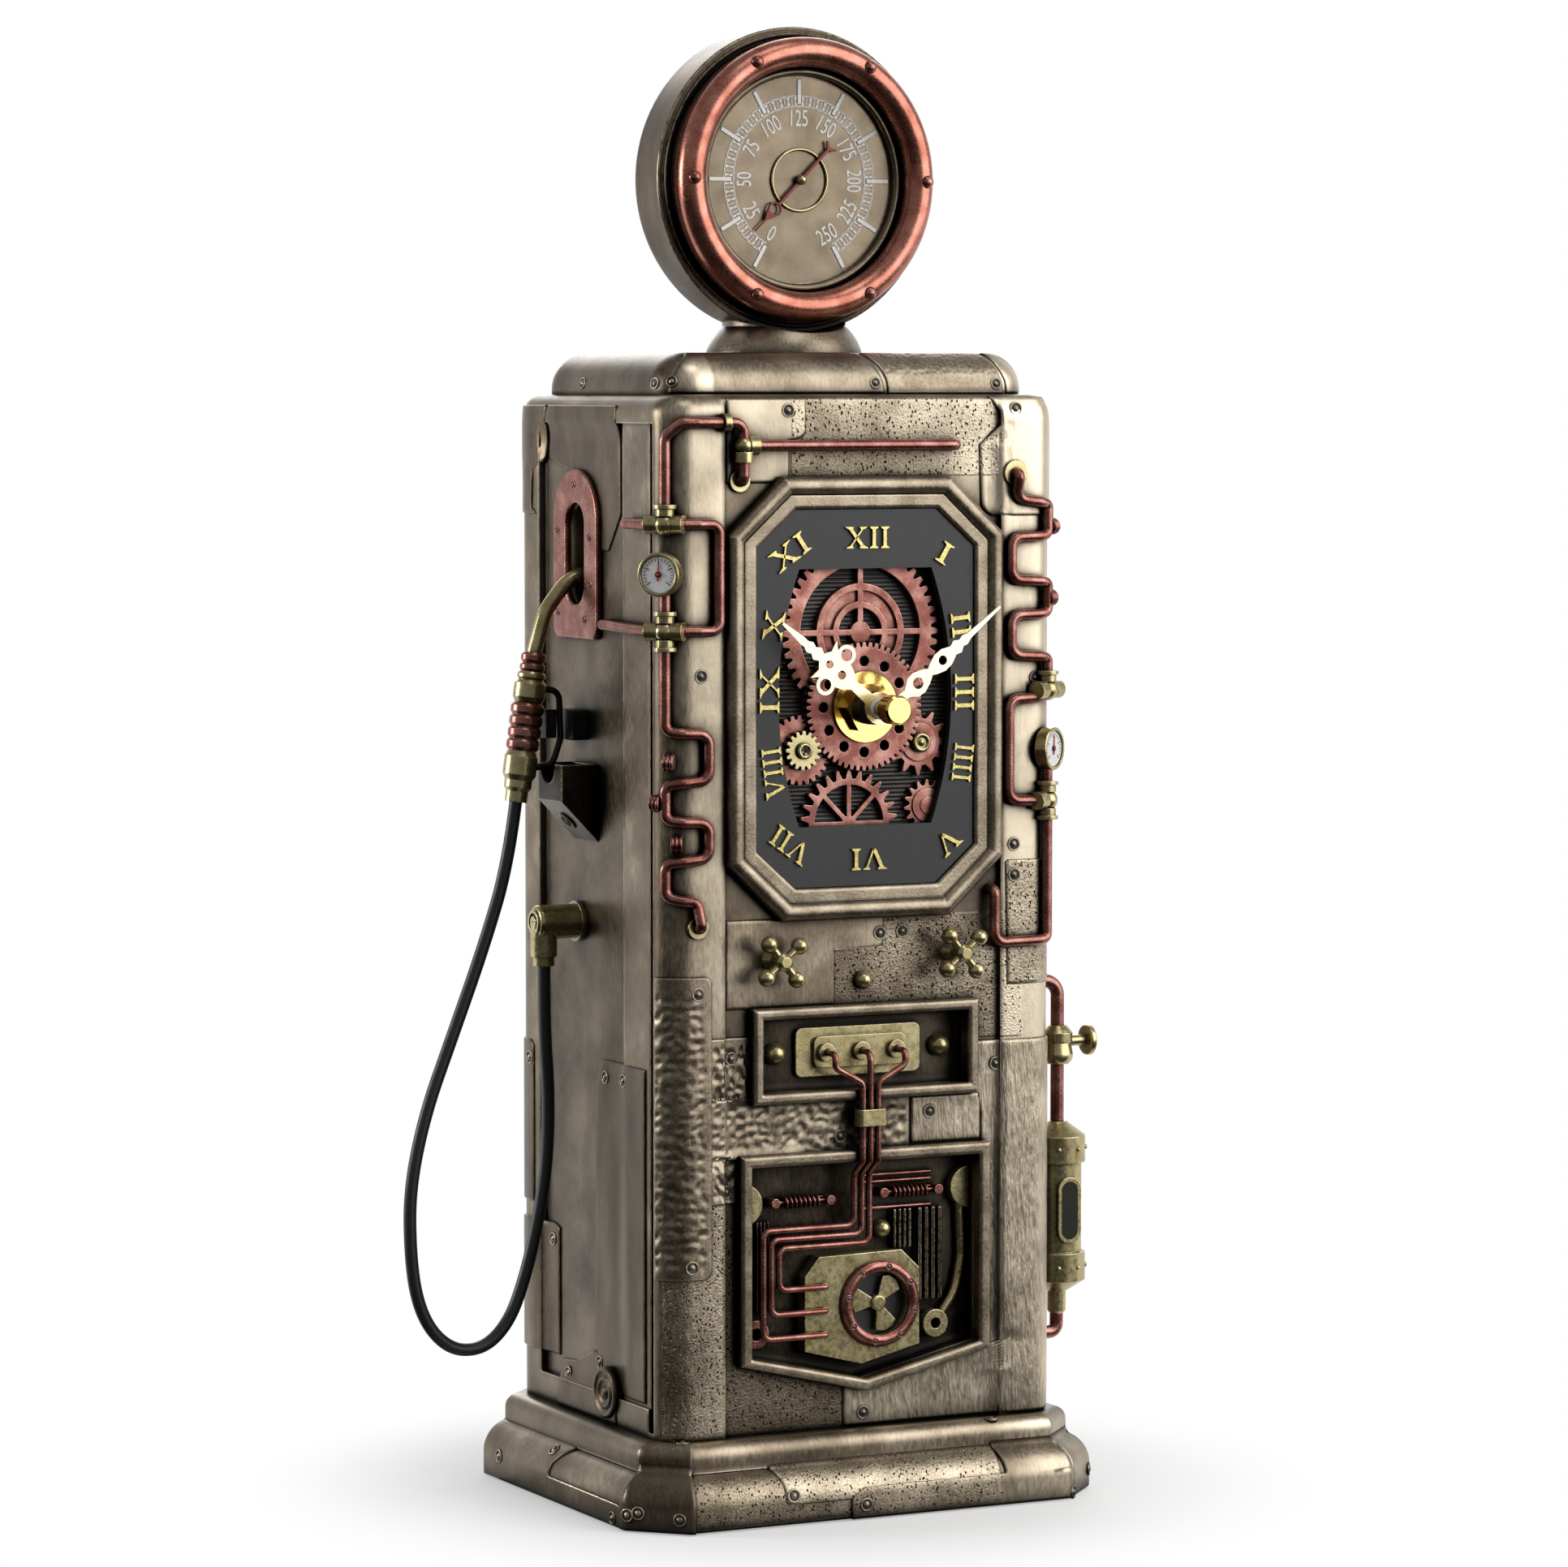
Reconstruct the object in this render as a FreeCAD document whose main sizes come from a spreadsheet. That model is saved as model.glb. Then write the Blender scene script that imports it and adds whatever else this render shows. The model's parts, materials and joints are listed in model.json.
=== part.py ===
import FreeCAD, Part
import math
import os
import Sketcher

# Table clock shaped like an old petrol pump. Millimetres, +Z up, front towards -Y,
# origin at the middle of the underside.

Vector = FreeCAD.Vector
doc = FreeCAD.newDocument("pump_clock")
sheet = doc.addObject("Spreadsheet::Sheet", "dims")
os.makedirs("parts", exist_ok=True)


# Sizes: each one carries its number and the text that names its cell.
class Size:
    def __init__(self, number, text):
        self.number = float(number)
        self.text = text

    @staticmethod
    def of(value):
        if isinstance(value, Size):
            return value
        return Size(value, "({:.6f})".format(float(value)))

    def join(self, other, sign, number):
        return Size(number, "(" + self.text + " " + sign + " " + other.text + ")")

    def __add__(self, other):
        other = Size.of(other)
        return self.join(other, "+", self.number + other.number)

    def __sub__(self, other):
        other = Size.of(other)
        return self.join(other, "-", self.number - other.number)

    def __mul__(self, other):
        other = Size.of(other)
        return self.join(other, "*", self.number * other.number)

    def __truediv__(self, other):
        other = Size.of(other)
        return self.join(other, "/", self.number / other.number)

    def __radd__(self, other):
        return Size.of(other) + self

    def __rsub__(self, other):
        return Size.of(other) - self

    def __rmul__(self, other):
        return Size.of(other) * self

    def __neg__(self):
        return Size.of(0) - self

    def __float__(self):
        return self.number


cells = []


def size(name, number):
    cells.append(name)
    cell = "B" + str(len(cells))
    sheet.set("A" + str(len(cells)), name)
    sheet.set(cell, str(number))
    sheet.setAlias(cell, name)
    return Size(number, "dims." + name)


# Base
felt_t = size("feltThickness", 1.0)
felt_inset = size("feltInset", 2.5)
base_x = size("baseHalfWidth", 60.0)
base_y = size("baseHalfDepth", 51.0)
base_cut = size("baseCornerCut", 11.4)
base_step = size("baseStepHeight", 13.0)
base_round = size("baseStepRound", 7.0)
mould_x = size("mouldingHalfWidth", 55.5)
mould_y = size("mouldingHalfDepth", 46.0)
mould_cut = size("mouldingCornerCut", 9.0)
base_top = size("baseHeight", 19.5)
mould_round = size("mouldingRound", 3.0)

# Casing
hull_x = size("casingHalfWidth", 50.5)
hull_y = size("casingHalfDepth", 41.0)
hull_top = size("casingTop", 256.5)
hull_round = size("casingCornerRound", 7.0)
shoulder = size("shoulderRound", 4.5)
pillar_w = size("cornerPillarWidth", 15.0)
panel_low = size("panelBottom", 26.0)
panel_high = size("panelTop", 250.0)
panel_in = size("panelDepth", 1.4)
strip_front = size("sideStripFront", 9.0)
strip_back = size("sideStripBack", 23.4)
strip_in = size("sideStripDepth", 0.7)
groove_w = size("cornerGrooveWidth", 2.6)
groove_in = size("cornerGrooveDepth", 1.8)
rear_strip = size("rearStripWidth", 14.0)
bay_x = size("rearBayHalfWidth", 36.0)
bay_low = size("rearBayBottom", 100.0)
bay_high = size("rearBayTop", 232.0)
bay_wall = size("frontWallBehindDial", 12.0)

# Crown, neck and gauge head
crown_x = size("crownHalfWidth", 47.0)
crown_y = size("crownHalfDepth", 34.5)
crown_h = size("crownHeight", 9.5)
crown_corner = size("crownCornerRound", 9.0)
crown_round = size("crownTopRound", 8.4)
drum_z = size("gaugeCentreHeight", 306.0)
drum_r = size("gaugeDrumRadius", 35.4)
drum_front = size("gaugeDrumFront", 7.0)
drum_back = size("gaugeDrumBack", 9.3)
drum_groove = size("gaugeDrumGroove", 1.0)
neck_foot = size("neckFootRadius", 18.2)
neck_waist = size("neckWaistRadius", 14.4)
neck_bell = size("neckBellHeight", 6.2)
bezel_mid = size("bezelRingRadius", 29.4)
bezel_r = size("bezelTubeRadius", 3.4)
bezel_lift = size("bezelTubeLift", 4.5)
lip_in = size("dialLipInnerRadius", 24.0)
lip_rise = size("dialLipRise", 2.0)
face_t = size("gaugeFaceThickness", 0.8)
scale_ring = size("gaugeScaleRingRadius", 7.1)
scale_ring_r = size("gaugeScaleRingWire", 0.36)
pointer_t = size("pointerThickness", 0.5)
pointer_len = size("pointerLength", 16.8)
pointer_tail = size("pointerTail", 11.3)
pointer_turn = size("pointerTurn", 135.2)
pointer_hub = size("pointerHubRadius", 1.0)
pointer_loop = size("pointerLoopReach", 9.6)
loop_r = size("pointerLoopRadius", 1.7)
stem_half = size("pointerStemHalfWidth", 0.3)

# Clock dial
spindle_z = size("spindleHeight", 185.4)
dial_x = size("dialFrameHalfWidth", 35.4)
dial_low = size("dialFrameBottom", 137.0)
dial_high = size("dialFrameTop", 238.0)
dial_cut_x = size("dialFrameCornerCutWidth", 14.0)
dial_cut_z = size("dialFrameCornerCutHeight", 13.2)
frame_outer = size("dialFrameOuterBead", 4.3)
frame_inner = size("dialFrameInnerBead", 3.2)
frame_rise = size("dialFrameRise", 4.0)
inner_rise = size("dialFrameInnerRise", 2.9)
plate_t = size("dialPlateThickness", 1.9)
plate_gap = size("dialPlateClearance", 0.1)
window_x = size("dialWindowHalfWidth", 17.0)
window_bow = size("dialWindowBow", 5.2)
window_low = size("dialWindowBottom", 158.3)
window_high = size("dialWindowTop", 217.0)
well_x = size("gearWellHalfWidth", 24.0)
well_low = size("gearWellBottom", 156.0)
well_high = size("gearWellTop", 219.4)
well_in = size("gearWellDepth", 3.4)
back_t = size("gearBackingThickness", 0.8)
gear_t = size("reliefGearThickness", 1.9)

# Clock movement
case_half = size("movementHalfSide", 28.0)
case_t = size("movementThickness", 16.0)
case_wall = size("movementWall", 1.5)
bush_r = size("bushRadius", 3.9)
bush_gap = size("bushHoleClearance", 0.15)
bush_out = size("bushLengthInFront", 6.5)
run_gap = size("runningClearance", 0.07)
tube_r = size("hourTubeRadius", 2.55)
arbor_r = size("minuteArborRadius", 1.65)
pivot_r = size("pivotRadius", 0.8)
washer_r = size("washerRadius", 8.1)
washer_t = size("washerThickness", 0.8)
nut_flat = size("hexNutAcrossFlats", 10.6)
nut_t = size("hexNutThickness", 2.4)
gear_module = size("motionGearModule", 0.45)
wheel_t = size("motionWheelThickness", 1.0)
hand_t = size("handThickness", 0.4)
hour_len = size("hourHandLength", 31.5)
minute_len = size("minuteHandLength", 36.4)
hour_turn = size("hourHandTurn", -51.3)
minute_turn = size("minuteHandTurn", 51.2)
cap_r = size("capNutRadius", 3.35)
battery_r = size("batteryRadius", 7.1)
battery_len = size("batteryLength", 49.0)
knob_r = size("setKnobRadius", 4.6)

# Copper pipework on the front
pipe_r = size("pipeRadius", 1.25)
pipe_lift = size("pipeLift", 1.5)
fit_r = size("fittingRadius", 2.1)
thin_r = size("thinTubeRadius", 0.75)
mini_gauge_r = size("smallGaugeRadius", 5.0)

# Slot panel and lower window
slot_x = size("slotFrameHalfWidth", 29.0)
slot_low = size("slotFrameBottom", 95.4)
slot_high = size("slotFrameTop", 117.4)
slot_bar = size("slotFrameBar", 2.6)
slot_rise = size("slotFrameRise", 3.4)
slot_in = size("slotRecessDepth", 3.0)
pane_x = size("lowerFrameHalfWidth", 32.2)
pane_high = size("lowerFrameTop", 84.0)
pane_side = size("lowerFrameSideBottom", 35.8)
pane_point = size("lowerFramePoint", 28.0)
pane_bar = size("lowerFrameBar", 2.9)
pane_rise = size("lowerFrameRise", 3.4)
pane_in = size("lowerRecessDepth", 4.6)

# Side pieces
slot_side_y = size("nozzleSlotPlace", 7.0)
slot_side_z = size("nozzleSlotHeight", 219.7)
pill_r = size("slotPlateHalfWidth", 12.0)
pill_h = size("slotPlateHalfHeight", 19.6)
mouth_r = size("nozzleSlotHalfWidth", 4.9)
mouth_h = size("nozzleSlotHalfHeight", 11.7)
mouth_in = size("nozzleSlotDepth", 11.0)
pill_t = size("slotPlateThickness", 1.6)
pill_corner = size("slotPlateCornerRadius", 2.8)
hose_r = size("hoseRadius", 1.5)
nozzle_y = size("nozzlePlace", 8.0)

doc.recompute()

TINY = 1e-6
ROOT = FreeCAD.Rotation()
FACING = {
    "front": FreeCAD.Rotation(Vector(1, 0, 0), Vector(0, 0, 1), Vector(0, -1, 0), "XYZ"),
    "left": FreeCAD.Rotation(Vector(0, -1, 0), Vector(0, 0, 1), Vector(-1, 0, 0), "XYZ"),
    "right": FreeCAD.Rotation(Vector(0, 1, 0), Vector(0, 0, 1), Vector(1, 0, 0), "XYZ"),
    "back": FreeCAD.Rotation(Vector(-1, 0, 0), Vector(0, 0, 1), Vector(0, 1, 0), "XYZ"),
    "up": ROOT,
}
pieces = []


def place(thing, at=(0, 0, 0), facing="up", turn=0):
    # Local z points the way that the piece faces; a turn is clockwise seen from there.
    spin = FreeCAD.Rotation(Vector(0, 0, 1), -float(turn))
    rotation = FACING[facing].multiply(spin)
    base = Vector(*[float(a) for a in at])
    thing.Placement = FreeCAD.Placement(base, rotation)
    for axis, value in zip("xyz", at):
        if isinstance(value, Size):
            thing.setExpression("Placement.Base." + axis, value.text)
    return thing


def new_body(label, at=(0, 0, 0), facing="up", turn=0):
    body = doc.addObject("PartDesign::Body", label)
    body.Label = label
    place(body, at, facing, turn)
    pieces.append(body)
    return body


def plane_of(body, role):
    return [f for f in body.Origin.OriginFeatures if f.Role == role][0]


class Loops:
    # Closed loops of one sketch, kept in place by dimensions from the origin.
    def __init__(self, body, height=0, role="XY_Plane"):
        self.sketch = body.newObject("Sketcher::SketchObject", "sketch")
        self.sketch.AttachmentSupport = [(plane_of(body, role), "")]
        self.sketch.MapMode = "FlatFace"
        height = Size.of(height)
        self.sketch.AttachmentOffset = FreeCAD.Placement(Vector(0, 0, height.number), ROOT)
        self.sketch.setExpression("AttachmentOffset.Base.z", height.text)

    def bind(self, kind, item, point, value):
        index = self.sketch.addConstraint(
            Sketcher.Constraint(kind, -1, 1, item, point, value.number)
        )
        self.sketch.setExpression("Constraints[" + str(index) + "]", value.text)

    def pin(self, item, point, corner):
        across = Size.of(corner[0])
        up = Size.of(corner[1])
        if abs(across.number) < TINY and isinstance(corner[0], (int, float)):
            self.sketch.addConstraint(Sketcher.Constraint("PointOnObject", item, point, -2))
        else:
            self.bind("DistanceX", item, point, across)
        if abs(up.number) < TINY and isinstance(corner[1], (int, float)):
            self.sketch.addConstraint(Sketcher.Constraint("PointOnObject", item, point, -1))
        else:
            self.bind("DistanceY", item, point, up)

    def loop(self, corners, bulges=None):
        # A bulge is the middle of the arc that leaves that corner.
        bulges = bulges or {}
        spots = [Vector(float(a), float(b), 0) for a, b in corners]
        items = []
        for i, spot in enumerate(spots):
            end = spots[(i + 1) % len(spots)]
            if i in bulges:
                middle = Vector(float(bulges[i][0]), float(bulges[i][1]), 0)
                arc = Part.Arc(spot, middle, end)
                items.append(self.sketch.addGeometry(arc))
            else:
                items.append(self.sketch.addGeometry(Part.LineSegment(spot, end)))
        ends = []
        for i, item in enumerate(items):
            shape = self.sketch.Geometry[item]
            forward = shape.StartPoint.distanceToPoint(spots[i]) < 1e-4
            ends.append((1, 2) if forward else (2, 1))
        for i, item in enumerate(items):
            after = (i + 1) % len(items)
            self.sketch.addConstraint(
                Sketcher.Constraint("Coincident", item, ends[i][1], items[after], ends[after][0])
            )
        for i, item in enumerate(items):
            self.pin(item, ends[i][0], corners[i])
        for i, middle in bulges.items():
            mark = self.sketch.addGeometry(Part.Point(Vector(float(middle[0]), float(middle[1]), 0)))
            self.sketch.toggleConstruction(mark)
            self.pin(mark, 1, middle)
            self.sketch.addConstraint(Sketcher.Constraint("PointOnObject", mark, 1, items[i]))
        return self

    def circle(self, centre, radius):
        spot = Vector(float(centre[0]), float(centre[1]), 0)
        item = self.sketch.addGeometry(Part.Circle(spot, Vector(0, 0, 1), float(radius)))
        self.pin(item, 3, centre)
        radius = Size.of(radius)
        index = self.sketch.addConstraint(Sketcher.Constraint("Radius", item, radius.number))
        self.sketch.setExpression("Constraints[" + str(index) + "]", radius.text)
        return self


def feature(body, kind, name, loops, length=None, back=False):
    made = body.newObject("PartDesign::" + kind, name)
    made.Profile = loops.sketch
    if kind in ("Pad", "Pocket"):
        length = Size.of(length)
        made.Length = length.number
        made.setExpression("Length", length.text)
        made.Reversed = back
    else:
        made.ReferenceAxis = (loops.sketch, ["V_Axis"])
        made.Angle = 360.0
    before = body.Shape.Volume if not body.Shape.isNull() else 0.0
    doc.recompute()
    after = body.Shape.Volume
    if kind in ("Pocket", "Groove") and after > before - TINY:
        raise ValueError(body.Label + ": " + name + " cuts nothing")
    return made


def pad(body, loops, length, back=False):
    return feature(body, "Pad", "pad", loops, length, back)


def pocket(body, loops, depth, back=False):
    return feature(body, "Pocket", "pocket", loops, depth, back)


def revolve(body, corners, bulges=None):
    # The profile's first number is the radius and its second the height along local z.
    loops = Loops(body, 0, "XZ_Plane")
    loops.loop(corners, bulges)
    return feature(body, "Revolution", "turned", loops)


def soften(body, base, radius, wanted):
    # Rounds the edges whose bounding box passes the test.
    names = []
    for i, edge in enumerate(base.Shape.Edges):
        if wanted(edge.BoundBox, edge):
            names.append("Edge" + str(i + 1))
    made = body.newObject("PartDesign::Fillet", "round")
    made.Base = (base, names)
    radius = Size.of(radius)
    made.Radius = radius.number
    made.setExpression("Radius", radius.text)
    doc.recompute()
    return made


def flat_at(height):
    level = float(height)
    return lambda box, edge: abs(box.ZMin - level) < 1e-4 and abs(box.ZMax - level) < 1e-4


def box_loop(x0, x1, z0, z1):
    return [(x0, z0), (x1, z0), (x1, z1), (x0, z1)]


def cut_box(half_x, half_y, cut):
    # A rectangle with its four corners cut off.
    return [
        (half_x, cut - half_y),
        (half_x, half_y - cut),
        (half_x - cut, half_y),
        (cut - half_x, half_y),
        (-half_x, half_y - cut),
        (-half_x, cut - half_y),
        (cut - half_x, -half_y),
        (half_x - cut, -half_y),
    ]


def add_shape(label, shape, at=None):
    made = doc.addObject("Part::Feature", label)
    made.Label = label
    made.Shape = shape
    if at is not None:
        made.Placement = FreeCAD.Placement(at, ROOT).multiply(made.Placement)
    pieces.append(made)
    return made


# Base with its felt
felt = new_body("felt_sheet")
pad(felt, Loops(felt).loop(cut_box(base_x - felt_inset, base_y - felt_inset, base_cut)), felt_t)

base = new_body("base_plinth")
low = pad(
    base, Loops(base, felt_t).loop(cut_box(base_x, base_y, base_cut)), base_step - felt_t
)
low = soften(base, low, base_round, flat_at(base_step))
high = pad(
    base, Loops(base, base_step).loop(cut_box(mould_x, mould_y, mould_cut)), base_top - base_step
)
soften(base, high, mould_round, flat_at(base_top))

# Casing: four corner pillars round sunk panels, with the rear bay, the gear well and the slots
casing = new_body("pump_casing")
block = pad(
    casing,
    Loops(casing, base_top).loop(box_loop(-hull_x, hull_x, -hull_y, hull_y)),
    hull_top - base_top,
)
block = soften(
    casing, block, hull_round, lambda box, edge: box.ZLength > 10 and box.XLength < 0.01
)
block = soften(casing, block, shoulder, flat_at(hull_top))


def sunk(outline, depth, role="XZ_Plane", level=None, back=False):
    loops = Loops(casing, level, role)
    loops.loop(outline)
    return pocket(casing, loops, depth, back)


panel_x = hull_x - pillar_w
sunk(box_loop(-panel_x, panel_x, base_top, hull_top + 1.0), panel_in, level=hull_y)
for side in (-1, 1):
    face = hull_x * side
    for front, back, depth in (
        (-hull_y + strip_front, -hull_y + strip_back, strip_in),
        (-hull_y + strip_back, hull_y - rear_strip, panel_in),
    ):
        sunk(
            box_loop(front, back, panel_low, panel_high),
            depth,
            "YZ_Plane",
            face,
            back=side < 0,
        )
    groove_front = -hull_y + strip_front - groove_w
    sunk(
        box_loop(groove_front, groove_front + groove_w, base_top + 1.2, panel_high),
        groove_in,
        "YZ_Plane",
        face,
        back=side < 0,
    )
front_panel = hull_y - panel_in
side_panel = hull_x - panel_in
sunk(box_loop(-well_x, well_x, well_low, well_high), well_in, level=front_panel)
sunk(
    box_loop(-(slot_x - slot_bar), slot_x - slot_bar, slot_low + slot_bar, slot_high - slot_bar),
    slot_in,
    level=front_panel,
)


def pentagon(inset):
    # The inset is square to each side of the frame, so the point rises by less than it.
    half = pane_x - inset
    return [
        (-half, pane_side + inset * 0.6),
        (0, pane_point + inset * 0.97),
        (half, pane_side + inset * 0.6),
        (half, pane_high - inset),
        (-half, pane_high - inset),
    ]


sunk(pentagon(pane_bar), pane_in, level=front_panel)
bay_front = hull_y - bay_wall
sunk(box_loop(-bay_x, bay_x, bay_low, bay_high), hull_y + bay_front, level=-hull_y, back=True)
bush_hole = Loops(casing, front_panel - well_in, "XZ_Plane").circle((0, spindle_z), bush_r + bush_gap)
pocket(casing, bush_hole, front_panel - well_in - bay_front)


def pill(half_w, half_h, across, up):
    # A slot shape: two straight sides and two half round ends.
    straight = half_h - half_w
    corners = [
        (across + half_w, up - straight),
        (across + half_w, up + straight),
        (across - half_w, up + straight),
        (across - half_w, up - straight),
    ]
    return corners, {1: (across, up + half_h), 3: (across, up - half_h)}


mouth = Loops(casing, -side_panel, "YZ_Plane")
mouth.loop(*pill(mouth_r, mouth_h, slot_side_y, slot_side_z))
pocket(casing, mouth, mouth_in, back=True)

# Crown slab and neck
crown = new_body("crown_slab")
slab = pad(
    crown, Loops(crown, hull_top).loop(box_loop(-crown_x, crown_x, -crown_y, crown_y)), crown_h
)
slab = soften(crown, slab, crown_corner, lambda box, edge: box.ZLength > 5)
soften(crown, slab, crown_round, flat_at(hull_top + crown_h))

neck_low = hull_top + crown_h
neck = new_body("neck_collar", (0, 0, neck_low))
neck_rise = drum_z - drum_r - neck_low
revolve(
    neck,
    [
        (0, 0),
        (neck_foot, 0),
        (neck_waist, neck_bell),
        (neck_waist, neck_rise + 4.5),
        (0, neck_rise + 4.5),
    ],
    {1: (neck_waist + (neck_foot - neck_waist) * 0.63, neck_bell * 0.55)},
)
bite = Loops(neck, -neck_foot * 2, "XZ_Plane").circle((0, drum_z - neck_low), drum_r)
pocket(neck, bite, neck_foot * 4, back=True)

# Gauge head: drum, copper ring, face, scale ring and pointer
head_at = (0, 0, drum_z)
drum = new_body("gauge_drum", head_at, "front")
groove_level = drum_front - drum_groove
revolve(
    drum,
    [
        (0, -drum_back),
        (drum_r - 5.0, -drum_back),
        (drum_r, -drum_back + 3.6),
        (drum_r, groove_level - 0.3),
        (drum_r - 0.3, groove_level),
        (drum_r - 1.3, groove_level),
        (drum_r - 1.5, drum_front - 0.1),
        (drum_r - 2.0, drum_front - 0.1),
        (drum_r - 2.2, groove_level),
        (drum_r - 3.0, groove_level),
        (drum_r - 3.2, drum_front),
        (0, drum_front),
    ],
    {1: (drum_r - 1.4, -drum_back + 1.1)},
)

bezel = new_body("gauge_bezel", head_at, "front")
bezel_foot = bezel_r - 0.7
bezel_level = drum_front + bezel_lift
revolve(
    bezel,
    [
        (bezel_mid - bezel_foot, drum_front),
        (bezel_mid + bezel_foot, drum_front),
        (bezel_mid + bezel_r, bezel_level),
        (bezel_mid - bezel_r, bezel_level),
    ],
    {2: (bezel_mid, bezel_level + bezel_r)},
)

face = new_body("gauge_face", head_at, "front")
face_r = bezel_mid - bezel_r - plate_gap
pad(face, Loops(face, drum_front).circle((0, 0), face_r), face_t)
face_lip = pad(
    face,
    Loops(face, drum_front + face_t).circle((0, 0), face_r).circle((0, 0), lip_in),
    lip_rise,
)
soften(face, face_lip, 0.9, flat_at(drum_front + face_t + lip_rise))
face_front = drum_front + face_t

scale = doc.addObject("Part::Torus", "gauge_scale_ring")
scale.Label = "gauge_scale_ring"
scale.setExpression("Radius1", scale_ring.text)
scale.setExpression("Radius2", scale_ring_r.text)
place(scale, (0, -(face_front + scale_ring_r), drum_z), "front")
pieces.append(scale)

# The pointer's needle is bent down to the dial's edge and its tail ends in a fork.
pointer = new_body("gauge_pointer", head_at, "front", -pointer_turn)
pad(pointer, Loops(pointer, face_front).circle((0, 0), pointer_hub), pointer_t * 3)
needle_level = face_front + 0.8
fork_at = pointer_tail - 1.2
pad(
    pointer,
    Loops(pointer, needle_level).loop(
        [
            (-stem_half, pointer_loop - loop_r + 0.1),
            (-stem_half, -(fork_at - 0.2)),
            (-1.75, -(pointer_tail - 0.15)),
            (-1.35, -(pointer_tail + 0.2)),
            (0, -(fork_at + 0.5)),
            (1.35, -(pointer_tail + 0.2)),
            (1.75, -(pointer_tail - 0.15)),
            (stem_half, -(fork_at - 0.2)),
            (stem_half, pointer_loop - loop_r + 0.1),
        ]
    ),
    pointer_t,
)
eye = Loops(pointer, needle_level).circle((0, pointer_loop), loop_r)
pad(pointer, eye.circle((0, pointer_loop), loop_r - 0.36), pointer_t)
pad(
    pointer,
    Loops(pointer, needle_level).loop(
        [
            (-loop_r * 0.8, pointer_loop + loop_r * 0.7),
            (-0.14, pointer_loop + loop_r + 1.9),
            (-0.14, pointer_len),
            (0.14, pointer_len),
            (0.14, pointer_loop + loop_r + 1.9),
            (loop_r * 0.8, pointer_loop + loop_r * 0.7),
            (0, pointer_loop + loop_r - 0.1),
        ]
    ),
    pointer_t,
)

# Clock dial: frame, black plate and the fixed gear relief behind its window

def octagon(inset):
    half = dial_x - inset
    cut_x = dial_cut_x - inset * 0.56
    cut_z = dial_cut_z - inset * 0.6
    low_z = dial_low + inset
    high_z = dial_high - inset
    return [
        (half - cut_x, low_z),
        (half, low_z + cut_z),
        (half, high_z - cut_z),
        (half - cut_x, high_z),
        (cut_x - half, high_z),
        (-half, high_z - cut_z),
        (-half, low_z + cut_z),
        (cut_x - half, low_z),
    ]


dial_frame = new_body("dial_frame", (0, -front_panel, 0), "front")
frame_in = frame_outer + frame_inner
ring = pad(
    dial_frame, Loops(dial_frame).loop(octagon(0)).loop(octagon(frame_outer)), frame_rise
)
ring = soften(dial_frame, ring, 2.0, flat_at(frame_rise))
ring = pad(
    dial_frame,
    Loops(dial_frame).loop(octagon(frame_outer)).loop(octagon(frame_in)),
    inner_rise,
)
inner_x = float(dial_x - frame_in) + 0.01
inner_low = float(dial_low + frame_in) - 0.01
inner_high = float(dial_high - frame_in) + 0.01
soften(
    dial_frame,
    ring,
    0.9,
    lambda box, edge: flat_at(inner_rise)(box, edge)
    and abs(box.XMax) < inner_x
    and abs(box.XMin) < inner_x
    and box.YMin > inner_low
    and box.YMax < inner_high,
)

dial_plate = new_body("dial_plate", (0, -front_panel, 0), "front")
window_mid = (window_low + window_high) * 0.5
window = [
    (-window_x, window_low),
    (window_x, window_low),
    (window_x, window_high),
    (-window_x, window_high),
]
plate_loops = Loops(dial_plate).loop(octagon(frame_in + plate_gap))
plate_loops.loop(
    window,
    {1: (window_x + window_bow, window_mid), 3: (-window_x - window_bow, window_mid)},
)
pad(dial_plate, plate_loops, plate_t)

backing = new_body("gear_backing", (0, -(front_panel - well_in), 0), "front")
pad(
    backing,
    Loops(backing)
    .loop(
        box_loop(
            -well_x + plate_gap, well_x - plate_gap, well_low + plate_gap, well_high - plate_gap
        )
    )
    .circle((0, spindle_z), bush_r + bush_gap),
    back_t,
)


def toothed(teeth, tip, root, crown_share=0.4, foot_share=0.75):
    # A gear outline with straight flanks; the shares are parts of one pitch.
    spots = []
    step = 2 * math.pi / teeth
    for i in range(teeth):
        for share, radius in (
            (-foot_share / 2, root),
            (-crown_share / 2, tip),
            (crown_share / 2, tip),
            (foot_share / 2, root),
        ):
            angle = (i + share) * step
            spots.append(Vector(radius * math.sin(angle), 0, radius * math.cos(angle)))
    return spots


def disc(radius, depth, x=0.0, z=0.0, y=0.0):
    # A round bar whose front face is at y and which reaches back by its depth.
    return Part.makeCylinder(radius, depth, Vector(x, y, z), Vector(0, 1, 0))


def plate_of(spots, depth):
    wire = Part.makePolygon(spots + [spots[0]])
    return Part.Face(wire).extrude(Vector(0, depth, 0))


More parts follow.
